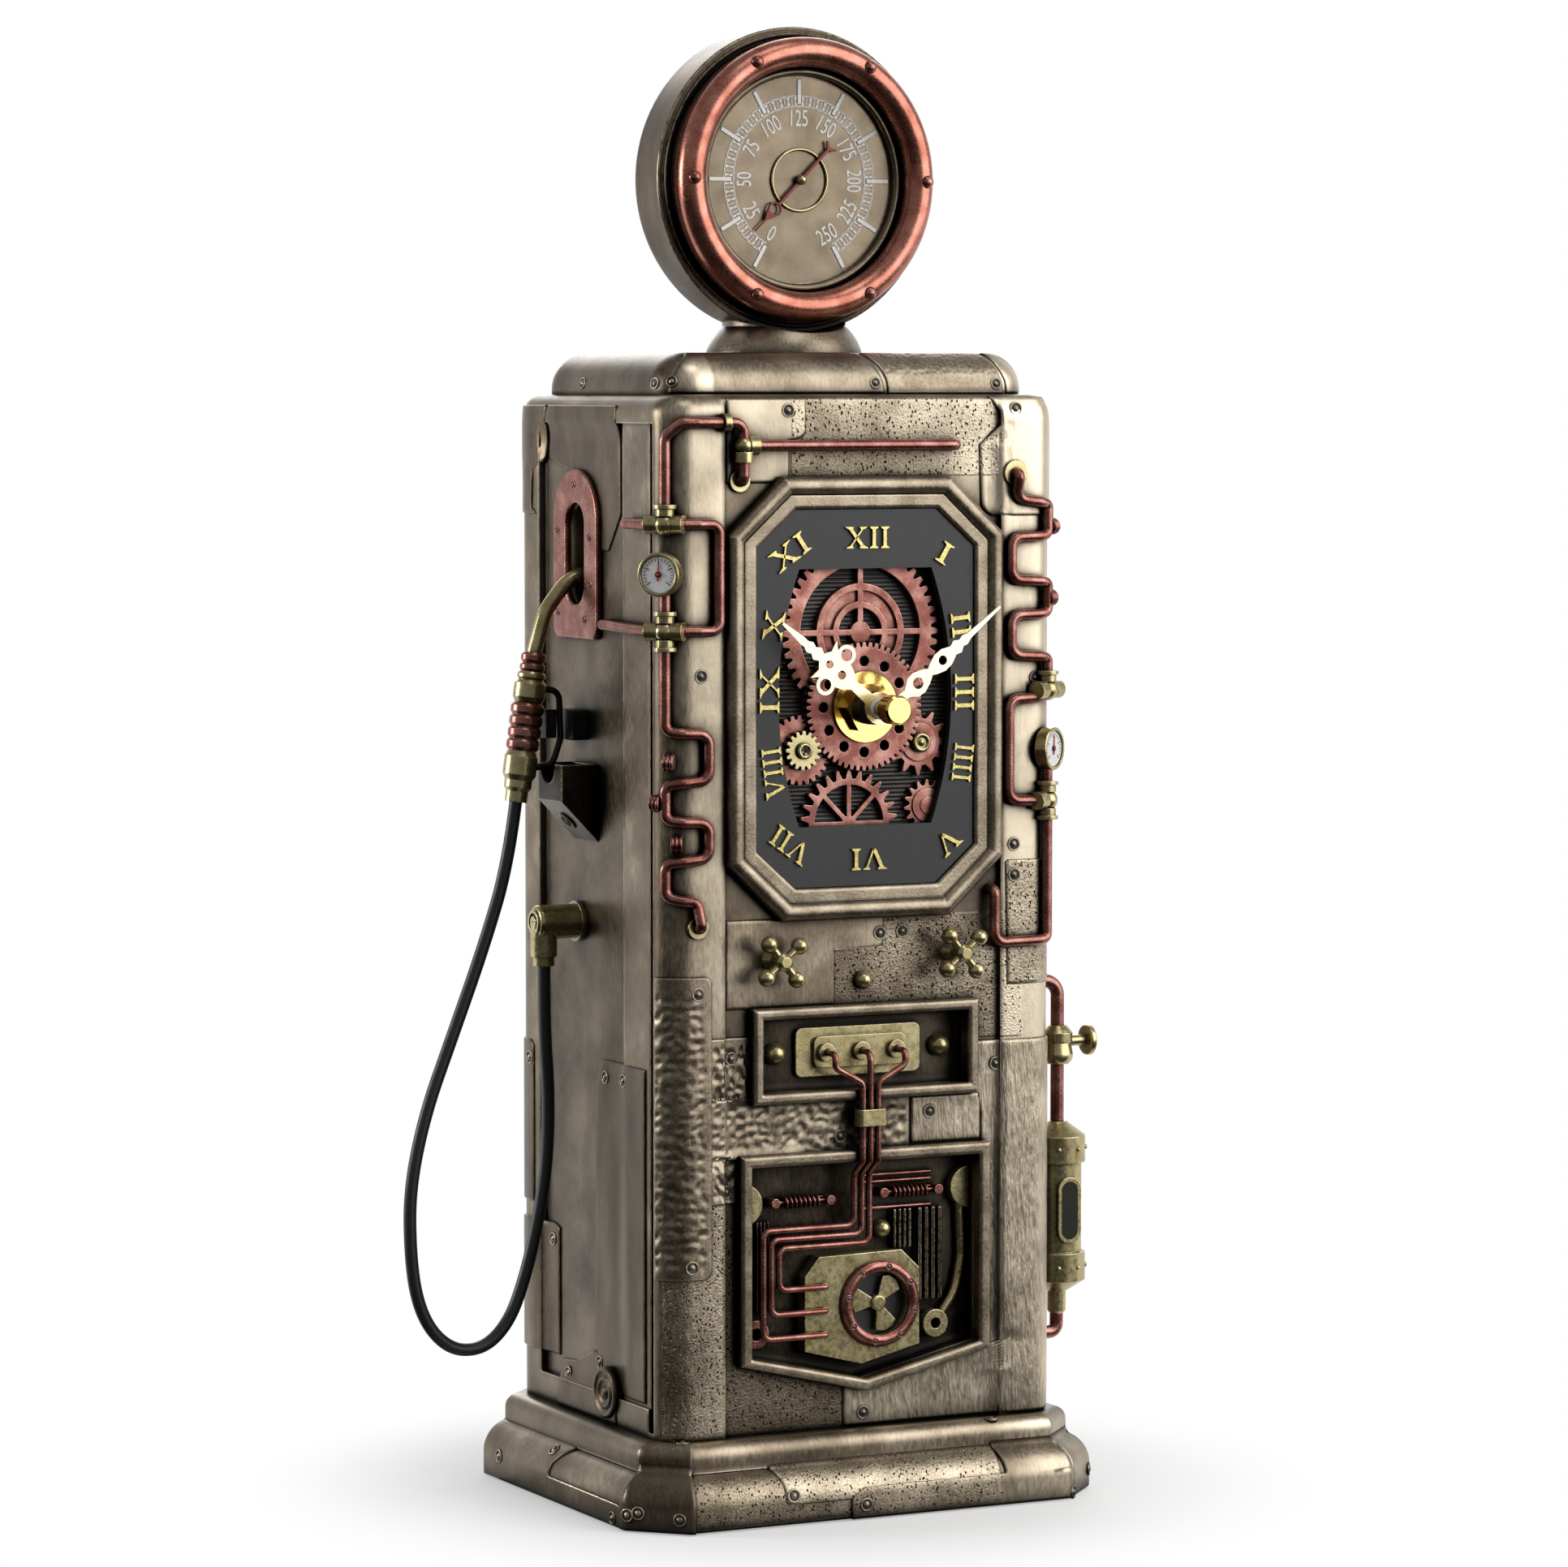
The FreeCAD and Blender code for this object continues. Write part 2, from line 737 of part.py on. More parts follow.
def relief_gear(centre, teeth, tip, root, level, holes=(), extras=(), phase=0.0, shares=(0.4, 0.75)):
    # Holes and extras are shapes made round the gear's own centre, front face at y = 0.
    depth = gear_t.number
    body_shape = plate_of(toothed(teeth, tip, root, *shares), depth)
    body_shape.rotate(Vector(0, 0, 0), Vector(0, 1, 0), phase)
    for hole in holes:
        body_shape = body_shape.cut(hole)
    for extra in extras:
        body_shape = body_shape.fuse(extra)
    body_shape.translate(Vector(centre[0], level, centre[1]))
    well = Part.makeBox(
        2 * (well_x - plate_gap).number,
        20,
        (well_high - well_low - plate_gap * 2).number,
        Vector(-(well_x - plate_gap).number, level - 10, (well_low + plate_gap).number),
    )
    body_shape = body_shape.common(well)
    shaft = disc((bush_r + bush_gap).number, 40, 0, spindle_z.number, level - 20)
    return body_shape.cut(shaft).removeSplitter()


def sector_holes(inner, outer, count, start, bar, depth):
    # Openings between two radii, parted by spokes of the given width.
    ring = disc(outer, depth + 2, y=-1).cut(disc(inner, depth + 4, y=-2))
    for i in range(count):
        spoke = Part.makeBox(bar, depth + 6, outer + 1, Vector(-bar / 2, -3, 0))
        spoke.rotate(Vector(0, 0, 0), Vector(0, 1, 0), start + 360.0 * i / count)
        ring = ring.cut(spoke)
    return ring


well_floor = -(front_panel - well_in).number
low_front = well_floor - back_t.number - gear_t.number
high_front = low_front - gear_t.number
deep = gear_t.number
band_in, band_root, band_tip = 15.4, 18.4, 20.0
spoke_w = 1.3
inner_parts = []
for inner, outer, set_back in ((9.6, 11.2, 0.0), (7.0, 9.7, 0.8), (5.6, 7.0, 0.0)):
    inner_parts.append(
        disc(outer, deep - set_back, y=set_back).cut(disc(inner, deep + 2, y=-1))
    )
inner_parts.append(disc(2.5, deep))
for angle in (0, 90, 180, 270):
    spoke = Part.makeBox(spoke_w, deep, band_in + 0.4, Vector(-spoke_w / 2, 0, 0))
    spoke.rotate(Vector(0, 0, 0), Vector(0, 1, 0), angle)
    inner_parts.append(spoke)
ring_gear = relief_gear(
    (0.0, 202.3),
    48,
    band_tip,
    band_root,
    low_front,
    holes=[disc(band_in, deep + 2, y=-1)],
    extras=inner_parts,
)
add_shape("gear_ring", ring_gear)
centre_z = spindle_z.number
round_holes = []
for i in range(12):
    angle = math.radians(30 * i)
    round_holes.append(
        disc(1.25, deep + 2, 10.4 * math.sin(angle), 10.4 * math.cos(angle), -1)
    )
centre_tip = 14.7
centre_gear = relief_gear((0.0, centre_z), 56, centre_tip, 13.6, high_front, holes=round_holes)
add_shape("gear_centre", centre_gear)
left_spot = (-15.5, 175.7)
brass_gear = relief_gear(
    left_spot, 16, 4.5, 3.6, high_front, extras=[disc(1.7, deep + 0.6, y=-0.6)], phase=2.0
)
add_shape("gear_brass", brass_gear.cut(centre_gear))
left_gear = relief_gear(left_spot, 26, 8.0, 7.0, low_front)
right_gear = relief_gear(
    (15.0, 176.8),
    12,
    7.7,
    5.6,
    low_front,
    extras=[disc(4.4, deep + 0.5, y=-0.5), disc(2.3, deep + 1.5, y=-1.5)],
    shares=(0.14, 0.62),
)
corner_gear = relief_gear(
    (17.3, 162.2),
    15,
    5.9,
    4.6,
    low_front,
    extras=[disc(3.9, deep + 0.4, y=-0.4), disc(2.0, deep + 0.65, y=-0.65)],
    shares=(0.2, 0.66),
)
low_gear = relief_gear(
    (-2.9, 158.6),
    26,
    12.4,
    10.3,
    low_front,
    holes=[sector_holes(1.8, 8.9, 8, 0.0, 1.0, deep)],
    shares=(0.2, 0.66),
)
add_shape("gear_low", low_gear)
# The right gear's hub is cut back to a circle just clear of the centre gear's teeth.
clear_of_teeth = disc(centre_tip + 0.05, 3.0, 0.0, centre_z, low_front - 1.5)
right_gear = right_gear.cut(clear_of_teeth)
add_shape("gears_side", Part.makeCompound([left_gear, right_gear, corner_gear]))

# Quartz movement in the rear bay
case_front = bay_front - 0.1
case_back = case_front - case_t
case = new_body("movement_case", (0, -case_back, spindle_z), "front")
shell = pad(
    case, Loops(case).loop(box_loop(-case_half, case_half, -case_half, case_half)), case_t
)
soften(case, shell, 3.0, lambda box, edge: box.ZLength > 10)
pad(case, Loops(case, case_t).circle((0, 0), bush_r), front_panel - case_front + bush_out)
chamber_low = Size.of(-10.6)
chamber_high = case_half - case_wall
chamber_x = case_half - case_wall
pocket(
    case,
    Loops(case, 0).loop(box_loop(-chamber_x, chamber_x, chamber_low, chamber_high)),
    case_t - case_wall,
    back=True,
)
bay_lip = 0.4
cell_z = Size.of(-(case_half - case_wall)) + battery_r + bay_lip
pocket(
    case,
    Loops(case, 0).loop(
        box_loop(
            -(battery_len * 0.5 + 0.8),
            battery_len * 0.5 + 0.8,
            cell_z - battery_r - bay_lip,
            cell_z + battery_r + bay_lip,
        )
    ),
    case_t - 0.8,
    back=True,
)
bore_len = case_t + front_panel - case_front + bush_out + 1
pocket(case, Loops(case, 0).circle((0, 0), tube_r + run_gap), bore_len, back=True)
wheel_up = gear_module * 20
pocket(
    case,
    Loops(case, case_t - case_wall).circle((0, wheel_up), pivot_r + run_gap),
    case_wall - 0.5,
    back=True,
)

cover = new_body("movement_cover", (0, -case_back, spindle_z), "front")
lid_gap = 0.1
lid_t = 1.6
lid = Loops(cover, 0).loop(
    box_loop(
        -(chamber_x - lid_gap), chamber_x - lid_gap, chamber_low + lid_gap, chamber_high - lid_gap
    )
)
lid.circle((0, wheel_up), pivot_r + run_gap)
lid.circle((0, 0), pivot_r + run_gap)
pad(cover, lid, lid_t)

cell_y = case_back + case_t - 0.8 - battery_r - 0.05
cell = new_body("battery", (-(battery_len * 0.5), -cell_y, spindle_z + cell_z), "right")
revolve(
    cell,
    [
        (0, 0),
        (battery_r - 0.6, 0),
        (battery_r, 0.6),
        (battery_r, battery_len - 2.2),
        (battery_r - 0.6, battery_len - 1.6),
        (2.7, battery_len - 1.6),
        (2.7, battery_len),
        (0, battery_len),
    ],
)


def flank_angle(radius, base_radius):
    slope = math.acos(min(1.0, base_radius / radius))
    return math.tan(slope) - slope


def motion_teeth(teeth, module, slack=0.13, phase=0.0):
    # Involute teeth of 20 degrees, with the given slack at the pitch circle.
    pitch = module * teeth / 2
    tip = pitch + 0.8 * module
    root = pitch - 1.15 * module
    base_radius = pitch * math.cos(math.radians(20))
    half = math.pi / (2 * teeth) - slack / (2 * pitch) + flank_angle(pitch, base_radius)
    start = max(base_radius, root)
    rise = [start + (tip - start) * k / 3.0 for k in range(4)]
    flank = [(radius, half - flank_angle(radius, base_radius)) for radius in rise]
    if root < base_radius:
        flank.insert(0, (root, flank[0][1]))
    spots = []
    for i in range(teeth):
        middle = 2 * math.pi * (i + phase) / teeth
        for radius, angle in flank:
            spots.append((radius, middle - angle))
        for radius, angle in reversed(flank):
            spots.append((radius, middle + angle))
    return [Vector(r * math.sin(a), 0, r * math.cos(a)) for r, a in spots]


module = gear_module.number
CANNON, MINUTE_WHEEL, PINION, HOUR_WHEEL = 10, 30, 8, 32
spindle = Vector(0, 0, spindle_z.number)
wheel_axis = Vector(0, 0, (spindle_z + wheel_up).number)
chamber_front = -(case_front - case_wall).number
case_rear = -case_back.number
hour_level = chamber_front + 0.3
hour_back = hour_level + wheel_t.number
nose = -(front_panel + bush_out).number
hour_nose = nose - 2.9
thin = hand_t.number

hour_wheel = plate_of(motion_teeth(HOUR_WHEEL, module), wheel_t.number)
hour_wheel.translate(Vector(0, hour_level, 0))
hour_wheel = hour_wheel.fuse(disc(tube_r.number, hour_back - hour_nose, y=hour_nose))
bore = disc((arbor_r + run_gap).number, 80, y=hour_nose - 5)
hour_wheel = hour_wheel.cut(bore)
add_shape("hour_wheel", hour_wheel.removeSplitter(), spindle)

cannon_level = hour_back + 0.5
cannon_t = 1.6
minute_nose = hour_nose - 5.4
cannon = plate_of(motion_teeth(CANNON, module), cannon_t)
cannon.translate(Vector(0, cannon_level, 0))
arbor_back = cannon_level + cannon_t
cannon = cannon.fuse(disc(arbor_r.number, arbor_back - minute_nose, y=minute_nose))
cannon = cannon.fuse(disc(pivot_r.number, case_rear - 0.2 - arbor_back, y=arbor_back))
add_shape("minute_arbor", cannon.removeSplitter(), spindle)

wheel_level = cannon_level + 0.3
mesh_turn = 0.5
set_wheel = plate_of(motion_teeth(MINUTE_WHEEL, module, phase=mesh_turn), wheel_t.number)
set_wheel.translate(Vector(0, wheel_level, 0))
small = plate_of(motion_teeth(PINION, module, phase=mesh_turn), wheel_level - hour_level + 0.1)
small.translate(Vector(0, hour_level - 0.1, 0))
set_wheel = set_wheel.fuse(small)
shaft_front = chamber_front - case_wall.number + 0.7
knob_out = 4.6
set_wheel = set_wheel.fuse(
    disc(pivot_r.number, case_rear + 0.6 - shaft_front, y=shaft_front)
)
knob = toothed(24, knob_r.number, knob_r.number - 0.35, 0.45, 0.8)
knob_shape = plate_of(knob, knob_out)
knob_shape.translate(Vector(0, case_rear + 0.6, 0))
set_wheel = set_wheel.fuse(knob_shape)
add_shape("setting_wheel", set_wheel.removeSplitter(), wheel_axis)

# Washer and nut that hold the movement, on the face of the centre gear
washer = new_body("dial_washer", (0, high_front, spindle_z), "front")
pad(washer, Loops(washer).circle((0, 0), washer_r).circle((0, 0), bush_r + 0.05), washer_t)
nut = new_body("hex_nut", (0, Size.of(high_front) - washer_t, spindle_z), "front")
point = nut_flat * (1 / math.sqrt(3))
hexagon = []
for i in range(6):
    angle = math.radians(60 * i)
    hexagon.append((point * math.cos(angle) + 0, point * math.sin(angle) + 0))
pad(nut, Loops(nut).loop(hexagon).circle((0, 0), bush_r + 0.05), nut_t)


def hand_shape(boss, bore_radius, blade, eyes):
    # A pierced hand along +z: a blade given by half widths, then rings with their holes.
    spots = [Vector(x, 0, z) for x, z in blade]
    spots += [Vector(-x, 0, z) for x, z in reversed(blade)]
    made = plate_of(spots, thin).fuse(disc(boss, thin))
    for x, z, outer, inner in eyes:
        for side in (-1, 1) if x else (1,):
            made = made.fuse(disc(outer, thin, side * x, z))
    for x, z, outer, inner in eyes:
        for side in (-1, 1) if x else (1,):
            made = made.cut(disc(inner, thin + 2, side * x, z, -1))
    return made.cut(disc(bore_radius, thin + 2, y=-1)).removeSplitter()


def set_hand(label, shape, level, turn):
    shape.rotate(Vector(0, 0, 0), Vector(0, 1, 0), turn)
    shape.translate(Vector(0, level, 0))
    add_shape(label, shape, spindle)


hour_level_out = hour_nose + 0.5
hour_blade = [
    (1.5, 2.6),
    (1.1, 8.4),
    (2.6, 10.6),
    (3.4, 12.6),
    (3.0, 13.4),
    (2.6, 15.4),
    (5.3, 18.3),
    (2.6, 17.8),
    (1.0, 19.0),
    (1.7, 20.4),
    (0.9, 21.6),
    (1.4, 22.8),
    (0.8, 24.0),
    (0.9, 25.2),
    (0.3, hour_len.number),
]
hour_eyes = [(4.3, 14.3, 2.3, 1.45), (0, 16.4, 1.7, 0.95), (0, 12.4, 1.9, 1.05)]
set_hand(
    "hour_hand",
    hand_shape(3.7, tube_r.number, hour_blade, hour_eyes),
    hour_level_out,
    hour_turn.number,
)
minute_level_out = minute_nose + 0.8
minute_blade = [
    (1.2, 2.2),
    (1.0, 5.6),
    (2.5, 7.6),
    (2.7, 9.4),
    (1.9, 11.6),
    (0.9, 13.2),
    (1.5, 14.2),
    (2.3, 16.4),
    (2.2, 18.6),
    (1.2, 20.8),
    (1.7, 22.2),
    (0.9, 23.4),
    (1.2, 24.6),
    (0.7, 26.0),
    (0.25, minute_len.number),
]
minute_eyes = [(0, 9.2, 2.5, 1.35), (0, 17.3, 2.1, 1.1)]
minute_shape = hand_shape(3.0, arbor_r.number, minute_blade, minute_eyes)
set_hand("minute_hand", minute_shape, minute_level_out, minute_turn.number)
cap = new_body("cap_nut", (0, minute_level_out, spindle_z), "front")
revolve(
    cap,
    [
        (arbor_r, 0),
        (cap_r, 0),
        (cap_r, 4.0),
        (cap_r - 0.5, 4.5),
        (0, 4.5),
        (0, minute_level_out - minute_nose),
        (arbor_r, minute_level_out - minute_nose),
    ],
)


# Pipes: straight runs joined by bends, swept with a round section
def bend_radius(before, corner, after, wanted):
    run_in = (before - corner).Length
    run_out = (after - corner).Length
    turn = math.pi - (before - corner).getAngle(after - corner)
    if turn < 1e-3:
        return 0.0, turn
    most = 0.45 * min(run_in, run_out) / math.tan(turn / 2)
    return min(wanted, most), turn


def route(points, wanted, report=None):
    points = [Vector(*p) for p in points]
    edges = []
    start = points[0]
    for i in range(1, len(points) - 1):
        before, corner, after = points[i - 1], points[i], points[i + 1]
        radius, turn = bend_radius(before, corner, after, wanted)
        if report is not None:
            report.append(round(radius, 1))
        back = (before - corner).normalize()
        ahead = (after - corner).normalize()
        reach = radius * math.tan(turn / 2)
        first = corner + back * reach
        last = corner + ahead * reach
        middle_way = (back + ahead).normalize()
        middle = corner + middle_way * (radius / math.cos(turn / 2) - radius)
        if (first - start).Length > 1e-4:
            edges.append(Part.LineSegment(start, first).toShape())
        edges.append(Part.Arc(first, middle, last).toShape())
        start = last
    edges.append(Part.LineSegment(start, points[-1]).toShape())
    return Part.Wire(edges)


def tube(points, radius, wanted, report=None):
    wire = route(points, wanted, report)
    first = wire.Edges[0]
    at = first.valueAt(first.FirstParameter)
    way = first.tangentAt(first.FirstParameter)
    section = Part.Wire([Part.Circle(at, way, radius).toShape()])
    made = wire.makePipeShell([section], True, False)
    length = wire.Length
    ratio = made.Volume / (math.pi * radius**2 * length)
    if abs(ratio - 1) > 0.02 or not made.isValid():
        raise ValueError("tube volume is off by " + str(round(ratio, 3)) + " at " + str(points[0]))
    return made


lift = pipe_lift.number


def on_front(x, z, out=lift):
    return (x, -(hull_y.number + out), z)


def on_panel(x, z, out=lift):
    return (x, -(front_panel.number + out), z)


def on_corner(side, degrees, z, out=lift):
    # A place over the rounded front corner, measured from straight ahead.
    angle = math.radians(degrees)
    radius = hull_round.number + out
    x = hull_x.number - hull_round.number + radius * math.sin(angle)
    y = hull_y.number - hull_round.number + radius * math.cos(angle)
    return (side * x, -y, z)


def on_side(side, y, z, out=lift):
    return (side * (hull_x.number + out), y, z)


def round_bar(radius, length, centre, way):
    way = Vector(*way).normalize()
    start = Vector(*centre) - way * (length / 2)
    return Part.makeCylinder(radius, length, start, way)


def ball(radius, centre):
    return Part.makeSphere(radius, Vector(*centre))


def casing_prism(grow):
    # The casing's outer outline, to trim what stands on it.
    half_x = hull_x.number + grow
    half_y = hull_y.number + grow
    block_shape = Part.makeBox(
        2 * half_x, 2 * half_y, 260, Vector(-half_x, -half_y, 0)
    )
    upright = [e for e in block_shape.Edges if e.BoundBox.ZLength > 10]
    return block_shape.makeFillet(hull_round.number + grow, upright)


radius = pipe_r.number
bend = 2.6
skew = 48.0
half_turn = 22.0
left_x = -40.2


def wall_x(y):
    # The side wall's own distance from the middle, at one place along the depth.
    from_front = hull_y.number + y
    if from_front < strip_front.number:
        return hull_x.number
    if from_front < strip_back.number:
        return hull_x.number - strip_in.number
    return side_panel.number


def at_wall(side, y, z, out=0.0):
    return (side * (wall_x(y) + out), y, z)


end_run = 2.9
tee_high = 227.4
tee_low = 203.4
left_rise = tube(
    [
        on_corner(-1, skew, tee_high + radius + 0.1),
        on_corner(-1, skew, 247.0),
        on_corner(-1, half_turn, 250.2),
        on_front(-43.0, 250.2),
        on_front(-31.4, 250.2),
        on_panel(-31.4, 237.0, end_run),
        on_panel(-31.4, 237.0, 0.0),
    ],
    radius,
    bend,
)
left_rail = tube(
    [
        on_panel(-31.4 + radius + 0.1, 245.0, end_run),
        on_panel(23.2, 245.0, end_run),
        on_panel(23.2, 245.0, 0.0),
    ],
    radius,
    bend,
)
left_loop = tube(
    [
        at_wall(-1, -24.0, tee_high),
        at_wall(-1, -24.0, tee_high, end_run),
        on_corner(-1, 72.0, tee_high),
        on_corner(-1, skew, tee_high),
        on_corner(-1, half_turn, tee_high),
        on_front(-42.5, tee_high),
        on_front(-37.6, tee_high),
        on_front(-37.6, tee_low),
        on_front(-42.5, tee_low),
        on_corner(-1, half_turn, tee_low),
        on_corner(-1, skew, tee_low),
        on_corner(-1, 72.0, tee_low),
        on_side(-1, -30.0, tee_low),
        on_side(-1, -14.0, tee_low + 0.6),
        at_wall(-1, -10.4, tee_low + 0.6, end_run),
        at_wall(-1, -10.4, tee_low + 0.6),
    ],
    radius,
    bend,
)
left_stem = tube(
    [on_corner(-1, skew, 214.0), on_corner(-1, skew, tee_low + radius + 0.1)],
    radius,
    bend,
)
add_shape("pipes_left", Part.makeCompound([left_rise, left_rail, left_loop, left_stem]))

meander = []
for low_z, high_z in ((181.0, tee_low - radius - 0.1), (161.0, 168.8), (143.6, 151.0)):
    meander.append(on_corner(-1, skew, high_z))
    meander.append(on_corner(-1, skew, low_z))
    if low_z > 150:
        meander.append(on_corner(-1, half_turn, low_z - 0.6))
        meander.append(on_front(left_x, low_z - 0.8))
        meander.append(on_front(left_x, low_z - 8.9 if low_z < 170 else low_z - 11.2))
        meander.append(on_corner(-1, half_turn, low_z - 9.5 if low_z < 170 else low_z - 11.8))
meander += [
    on_corner(-1, half_turn, 142.6),
    on_front(-43.2, 142.4),
    on_front(-42.6, 136.4, end_run),
    on_front(-42.6, 136.4, 0.0),
]
serpentine = tube(meander, radius, bend)
add_shape("serpentine_left", serpentine)

ANGLE = 28.0
SMALL = 12.0
right_x = 37.4
right_rise = tube(
    [
        on_front(38.8, 238.4, 0.0),
        on_front(38.8, 238.4, end_run),
        on_front(38.8, 232.4),
        on_corner(1, SMALL, 231.6),
        on_corner(1, ANGLE, 231.2),
        on_corner(1, ANGLE, 224.4),
        on_corner(1, SMALL, 223.8),
        on_front(right_x, 223.6),
        on_front(right_x, 213.8),
        on_corner(1, SMALL, 213.4),
        on_corner(1, ANGLE, 213.0),
        on_corner(1, ANGLE, 206.4),
        on_corner(1, SMALL, 205.8),
        on_front(right_x, 205.6),
        on_front(right_x, 196.4),
        on_corner(1, SMALL, 196.0),
        on_corner(1, ANGLE, 195.6),
        on_corner(1, ANGLE, 188.2),
    ],
    radius,
    bend,
)
valve_z = 188.2
tee_z = 162.6
gauge_z = 174.5
right_loop = tube(
    [
        on_corner(1, ANGLE - 10.0, 186.8),
        on_corner(1, SMALL - 4.0, 186.6),
        on_front(right_x - 0.6, 186.2),
        on_front(right_x - 0.6, tee_z + 0.2),
        on_corner(1, SMALL - 4.0, tee_z),
        on_corner(1, ANGLE - 10.0, tee_z),
    ],
    radius,
    bend,
)
right_stem = tube(
    [
        on_corner(1, ANGLE, gauge_z - mini_gauge_r.number + 0.3),
        on_corner(1, ANGLE, 130.6),
        on_corner(1, SMALL, 130.2),
        on_front(33.2, 130.0),
        on_panel(33.2, 142.3, end_run),
        on_panel(33.2, 142.3, 0.0),
    ],
    radius,
    bend,
)
right_loop = right_loop.cut(right_stem)
add_shape("pipes_right", Part.makeCompound([right_rise, right_loop, right_stem]))


def along_corner(side, degrees):
    # Level direction along the casing's skin at that place.
    angle = math.radians(degrees)
    return (side * math.cos(angle), math.sin(angle), 0)


def cross_fitting(side, degrees, z, up=True, across=(-1, 1), low=True):
    centre = on_corner(side, degrees, z)
    way = along_corner(side, degrees)
    bars = [ball(fit_r.number + 0.4, centre)]
    for on, sign in ((up, 1), (low, -1)):
        if on:
            bars.append(round_bar(fit_r.number, 2.6, on_corner(side, degrees, z + sign * 3.2), (0, 0, 1)))
            bars.append(
                round_bar(fit_r.number + 0.5, 0.9, on_corner(side, degrees, z + sign * 4.0), (0, 0, 1))
            )
    for sign in across:
        spot = Vector(*centre) + Vector(*way) * (sign * 3.1)
        bars.append(round_bar(fit_r.number, 3.0, spot, way))
    return bars


def merged(bars):
    made = bars[0]
    for bar in bars[1:]:
        made = made.fuse(bar)
    return made


prism = casing_prism(0.0)


def trimmed(bars, pipes, against=None):
    made = merged(bars)
    for pipe in pipes:
        made = made.cut(pipe)
    return made.cut(against if against is not None else prism).removeSplitter()


def eyelet(spot, pipe, outer=2.5):
    x, y, z = spot
    ring = Part.makeCylinder(outer, 1.0, Vector(x, y - 1.0, z), Vector(0, 1, 0))
    return ring.cut(pipe)


panel_box = Part.makeBox(200, 80, 300, Vector(-100, -front_panel.number, 0))
left_pipes = [left_rise, left_rail, left_loop, left_stem, serpentine]
left_fittings = [
    trimmed(cross_fitting(-1, skew, tee_high, low=False), left_pipes),
    trimmed(cross_fitting(-1, skew, tee_low), left_pipes),
    trimmed(
        [
            ball(fit_r.number, on_panel(-31.4, 245.0, end_run)),
            round_bar(fit_r.number, 2.4, on_panel(-29.2, 245.0, end_run), (1, 0, 0)),
            round_bar(fit_r.number, 2.4, on_panel(-31.4, 242.4, end_run), (0, 0, 1)),
        ],
        left_pipes,
        panel_box,
    ),
    trimmed([round_bar(fit_r.number, 1.6, on_front(-36.0, 250.2), (1, 0, 0))], left_pipes),
    eyelet(on_panel(-31.4, 237.0, 0.0), left_rise),
    eyelet(on_front(-42.6, 136.4, 0.0), serpentine),
]

right_pipes = [right_rise, right_loop, right_stem]
right_fittings = [
    trimmed(cross_fitting(1, ANGLE, valve_z, low=False), right_pipes),
    trimmed(cross_fitting(1, ANGLE, tee_z, across=(-1,)), right_pipes),
    eyelet(on_front(38.8, 238.4, 0.0), right_rise, 2.9),
]
add_shape("pipe_fittings", Part.makeCompound(left_fittings + right_fittings))


# Two small round gauges in front of the pipes
def facing_out(side, degrees):
    angle = math.radians(degrees)
    return Vector(side * math.sin(angle), -math.cos(angle), 0)


def small_gauge(side, degrees, z, outer, stand):
    way = facing_out(side, degrees)
    start = Vector(*on_corner(side, degrees, z, stand))
    cup = Part.makeCylinder(outer, 3.0, start, way)
    cup = cup.cut(Part.makeCylinder(outer - 0.8, 1.2, start + way * 1.8, way))
    rim_edges = [e for e in cup.Edges if abs(e.Length - 2 * math.pi * outer) < 0.01]
    cup = cup.makeFillet(0.35, rim_edges)
    disc_shape = Part.makeCylinder(outer - 0.85, 0.6, start + way * 1.8, way)
    return cup, disc_shape


stand_off = lift + radius + 0.05
left_cup, left_disc = small_gauge(-1, skew, 216.3, mini_gauge_r.number, stand_off)
right_cup, right_disc = small_gauge(1, ANGLE + 6.0, gauge_z, mini_gauge_r.number, 0.1)
add_shape("small_gauges", Part.makeCompound([left_cup, right_cup, left_disc, right_disc]))


# Two four-ball valve handles
def turned(corners, bulges, start, way):
    # A solid of revolution from a profile (radius, distance), set along a direction.
    spots = [Vector(float(r), 0, float(h)) for r, h in corners]
    edges = []
    for i, spot in enumerate(spots):
        end = spots[(i + 1) % len(spots)]
        if i in bulges:
            middle = Vector(float(bulges[i][0]), 0, float(bulges[i][1]))
            edges.append(Part.Arc(spot, middle, end).toShape())
        else:
            edges.append(Part.LineSegment(spot, end).toShape())
    made = Part.Face(Part.Wire(edges)).revolve(Vector(0, 0, 0), Vector(0, 0, 1), 360)
    turn = FreeCAD.Rotation(Vector(0, 0, 1), Vector(*way))
    made.Placement = FreeCAD.Placement(Vector(*start), turn)
    return made


def valve_handle(x, z):
    # Five solids: the turned hub, and four balled arms whose ends fit its rim.
    foot = (x, -front_panel.number, z)
    arm_out, hub_r, hub_top = 6.1, 2.0, 8.1
    arm_r, ball_r, reach = 0.95, 1.95, 5.4
    hub_profile = [
        (0, 0),
        (2.7, 0),
        (1.3, 2.2),
        (1.3, 4.2),
        (hub_r, 4.9),
        (hub_r, 7.3),
        (1.2, hub_top),
        (0, hub_top),
    ]
    hub = turned(hub_profile, {}, foot, (0, -1, 0))
    made = [hub]
    meet = reach - math.sqrt(ball_r**2 - arm_r**2)
    arm_profile = [(0, 0.3), (arm_r, 0.3), (arm_r, meet), (0, reach + ball_r)]
    for degrees in (40, 130, 220, 310):
        angle = math.radians(degrees)
        way = (math.cos(angle), 0, math.sin(angle))
        arm = turned(arm_profile, {2: (ball_r, reach)}, (x, foot[1] - arm_out, z), way)
        made.append(arm.cut(hub))
    return Part.makeCompound(made)


handle_pair = [valve_handle(-23.2, 128.3), valve_handle(23.2, 128.3)]
add_shape("valve_handles", Part.makeCompound(handle_pair))

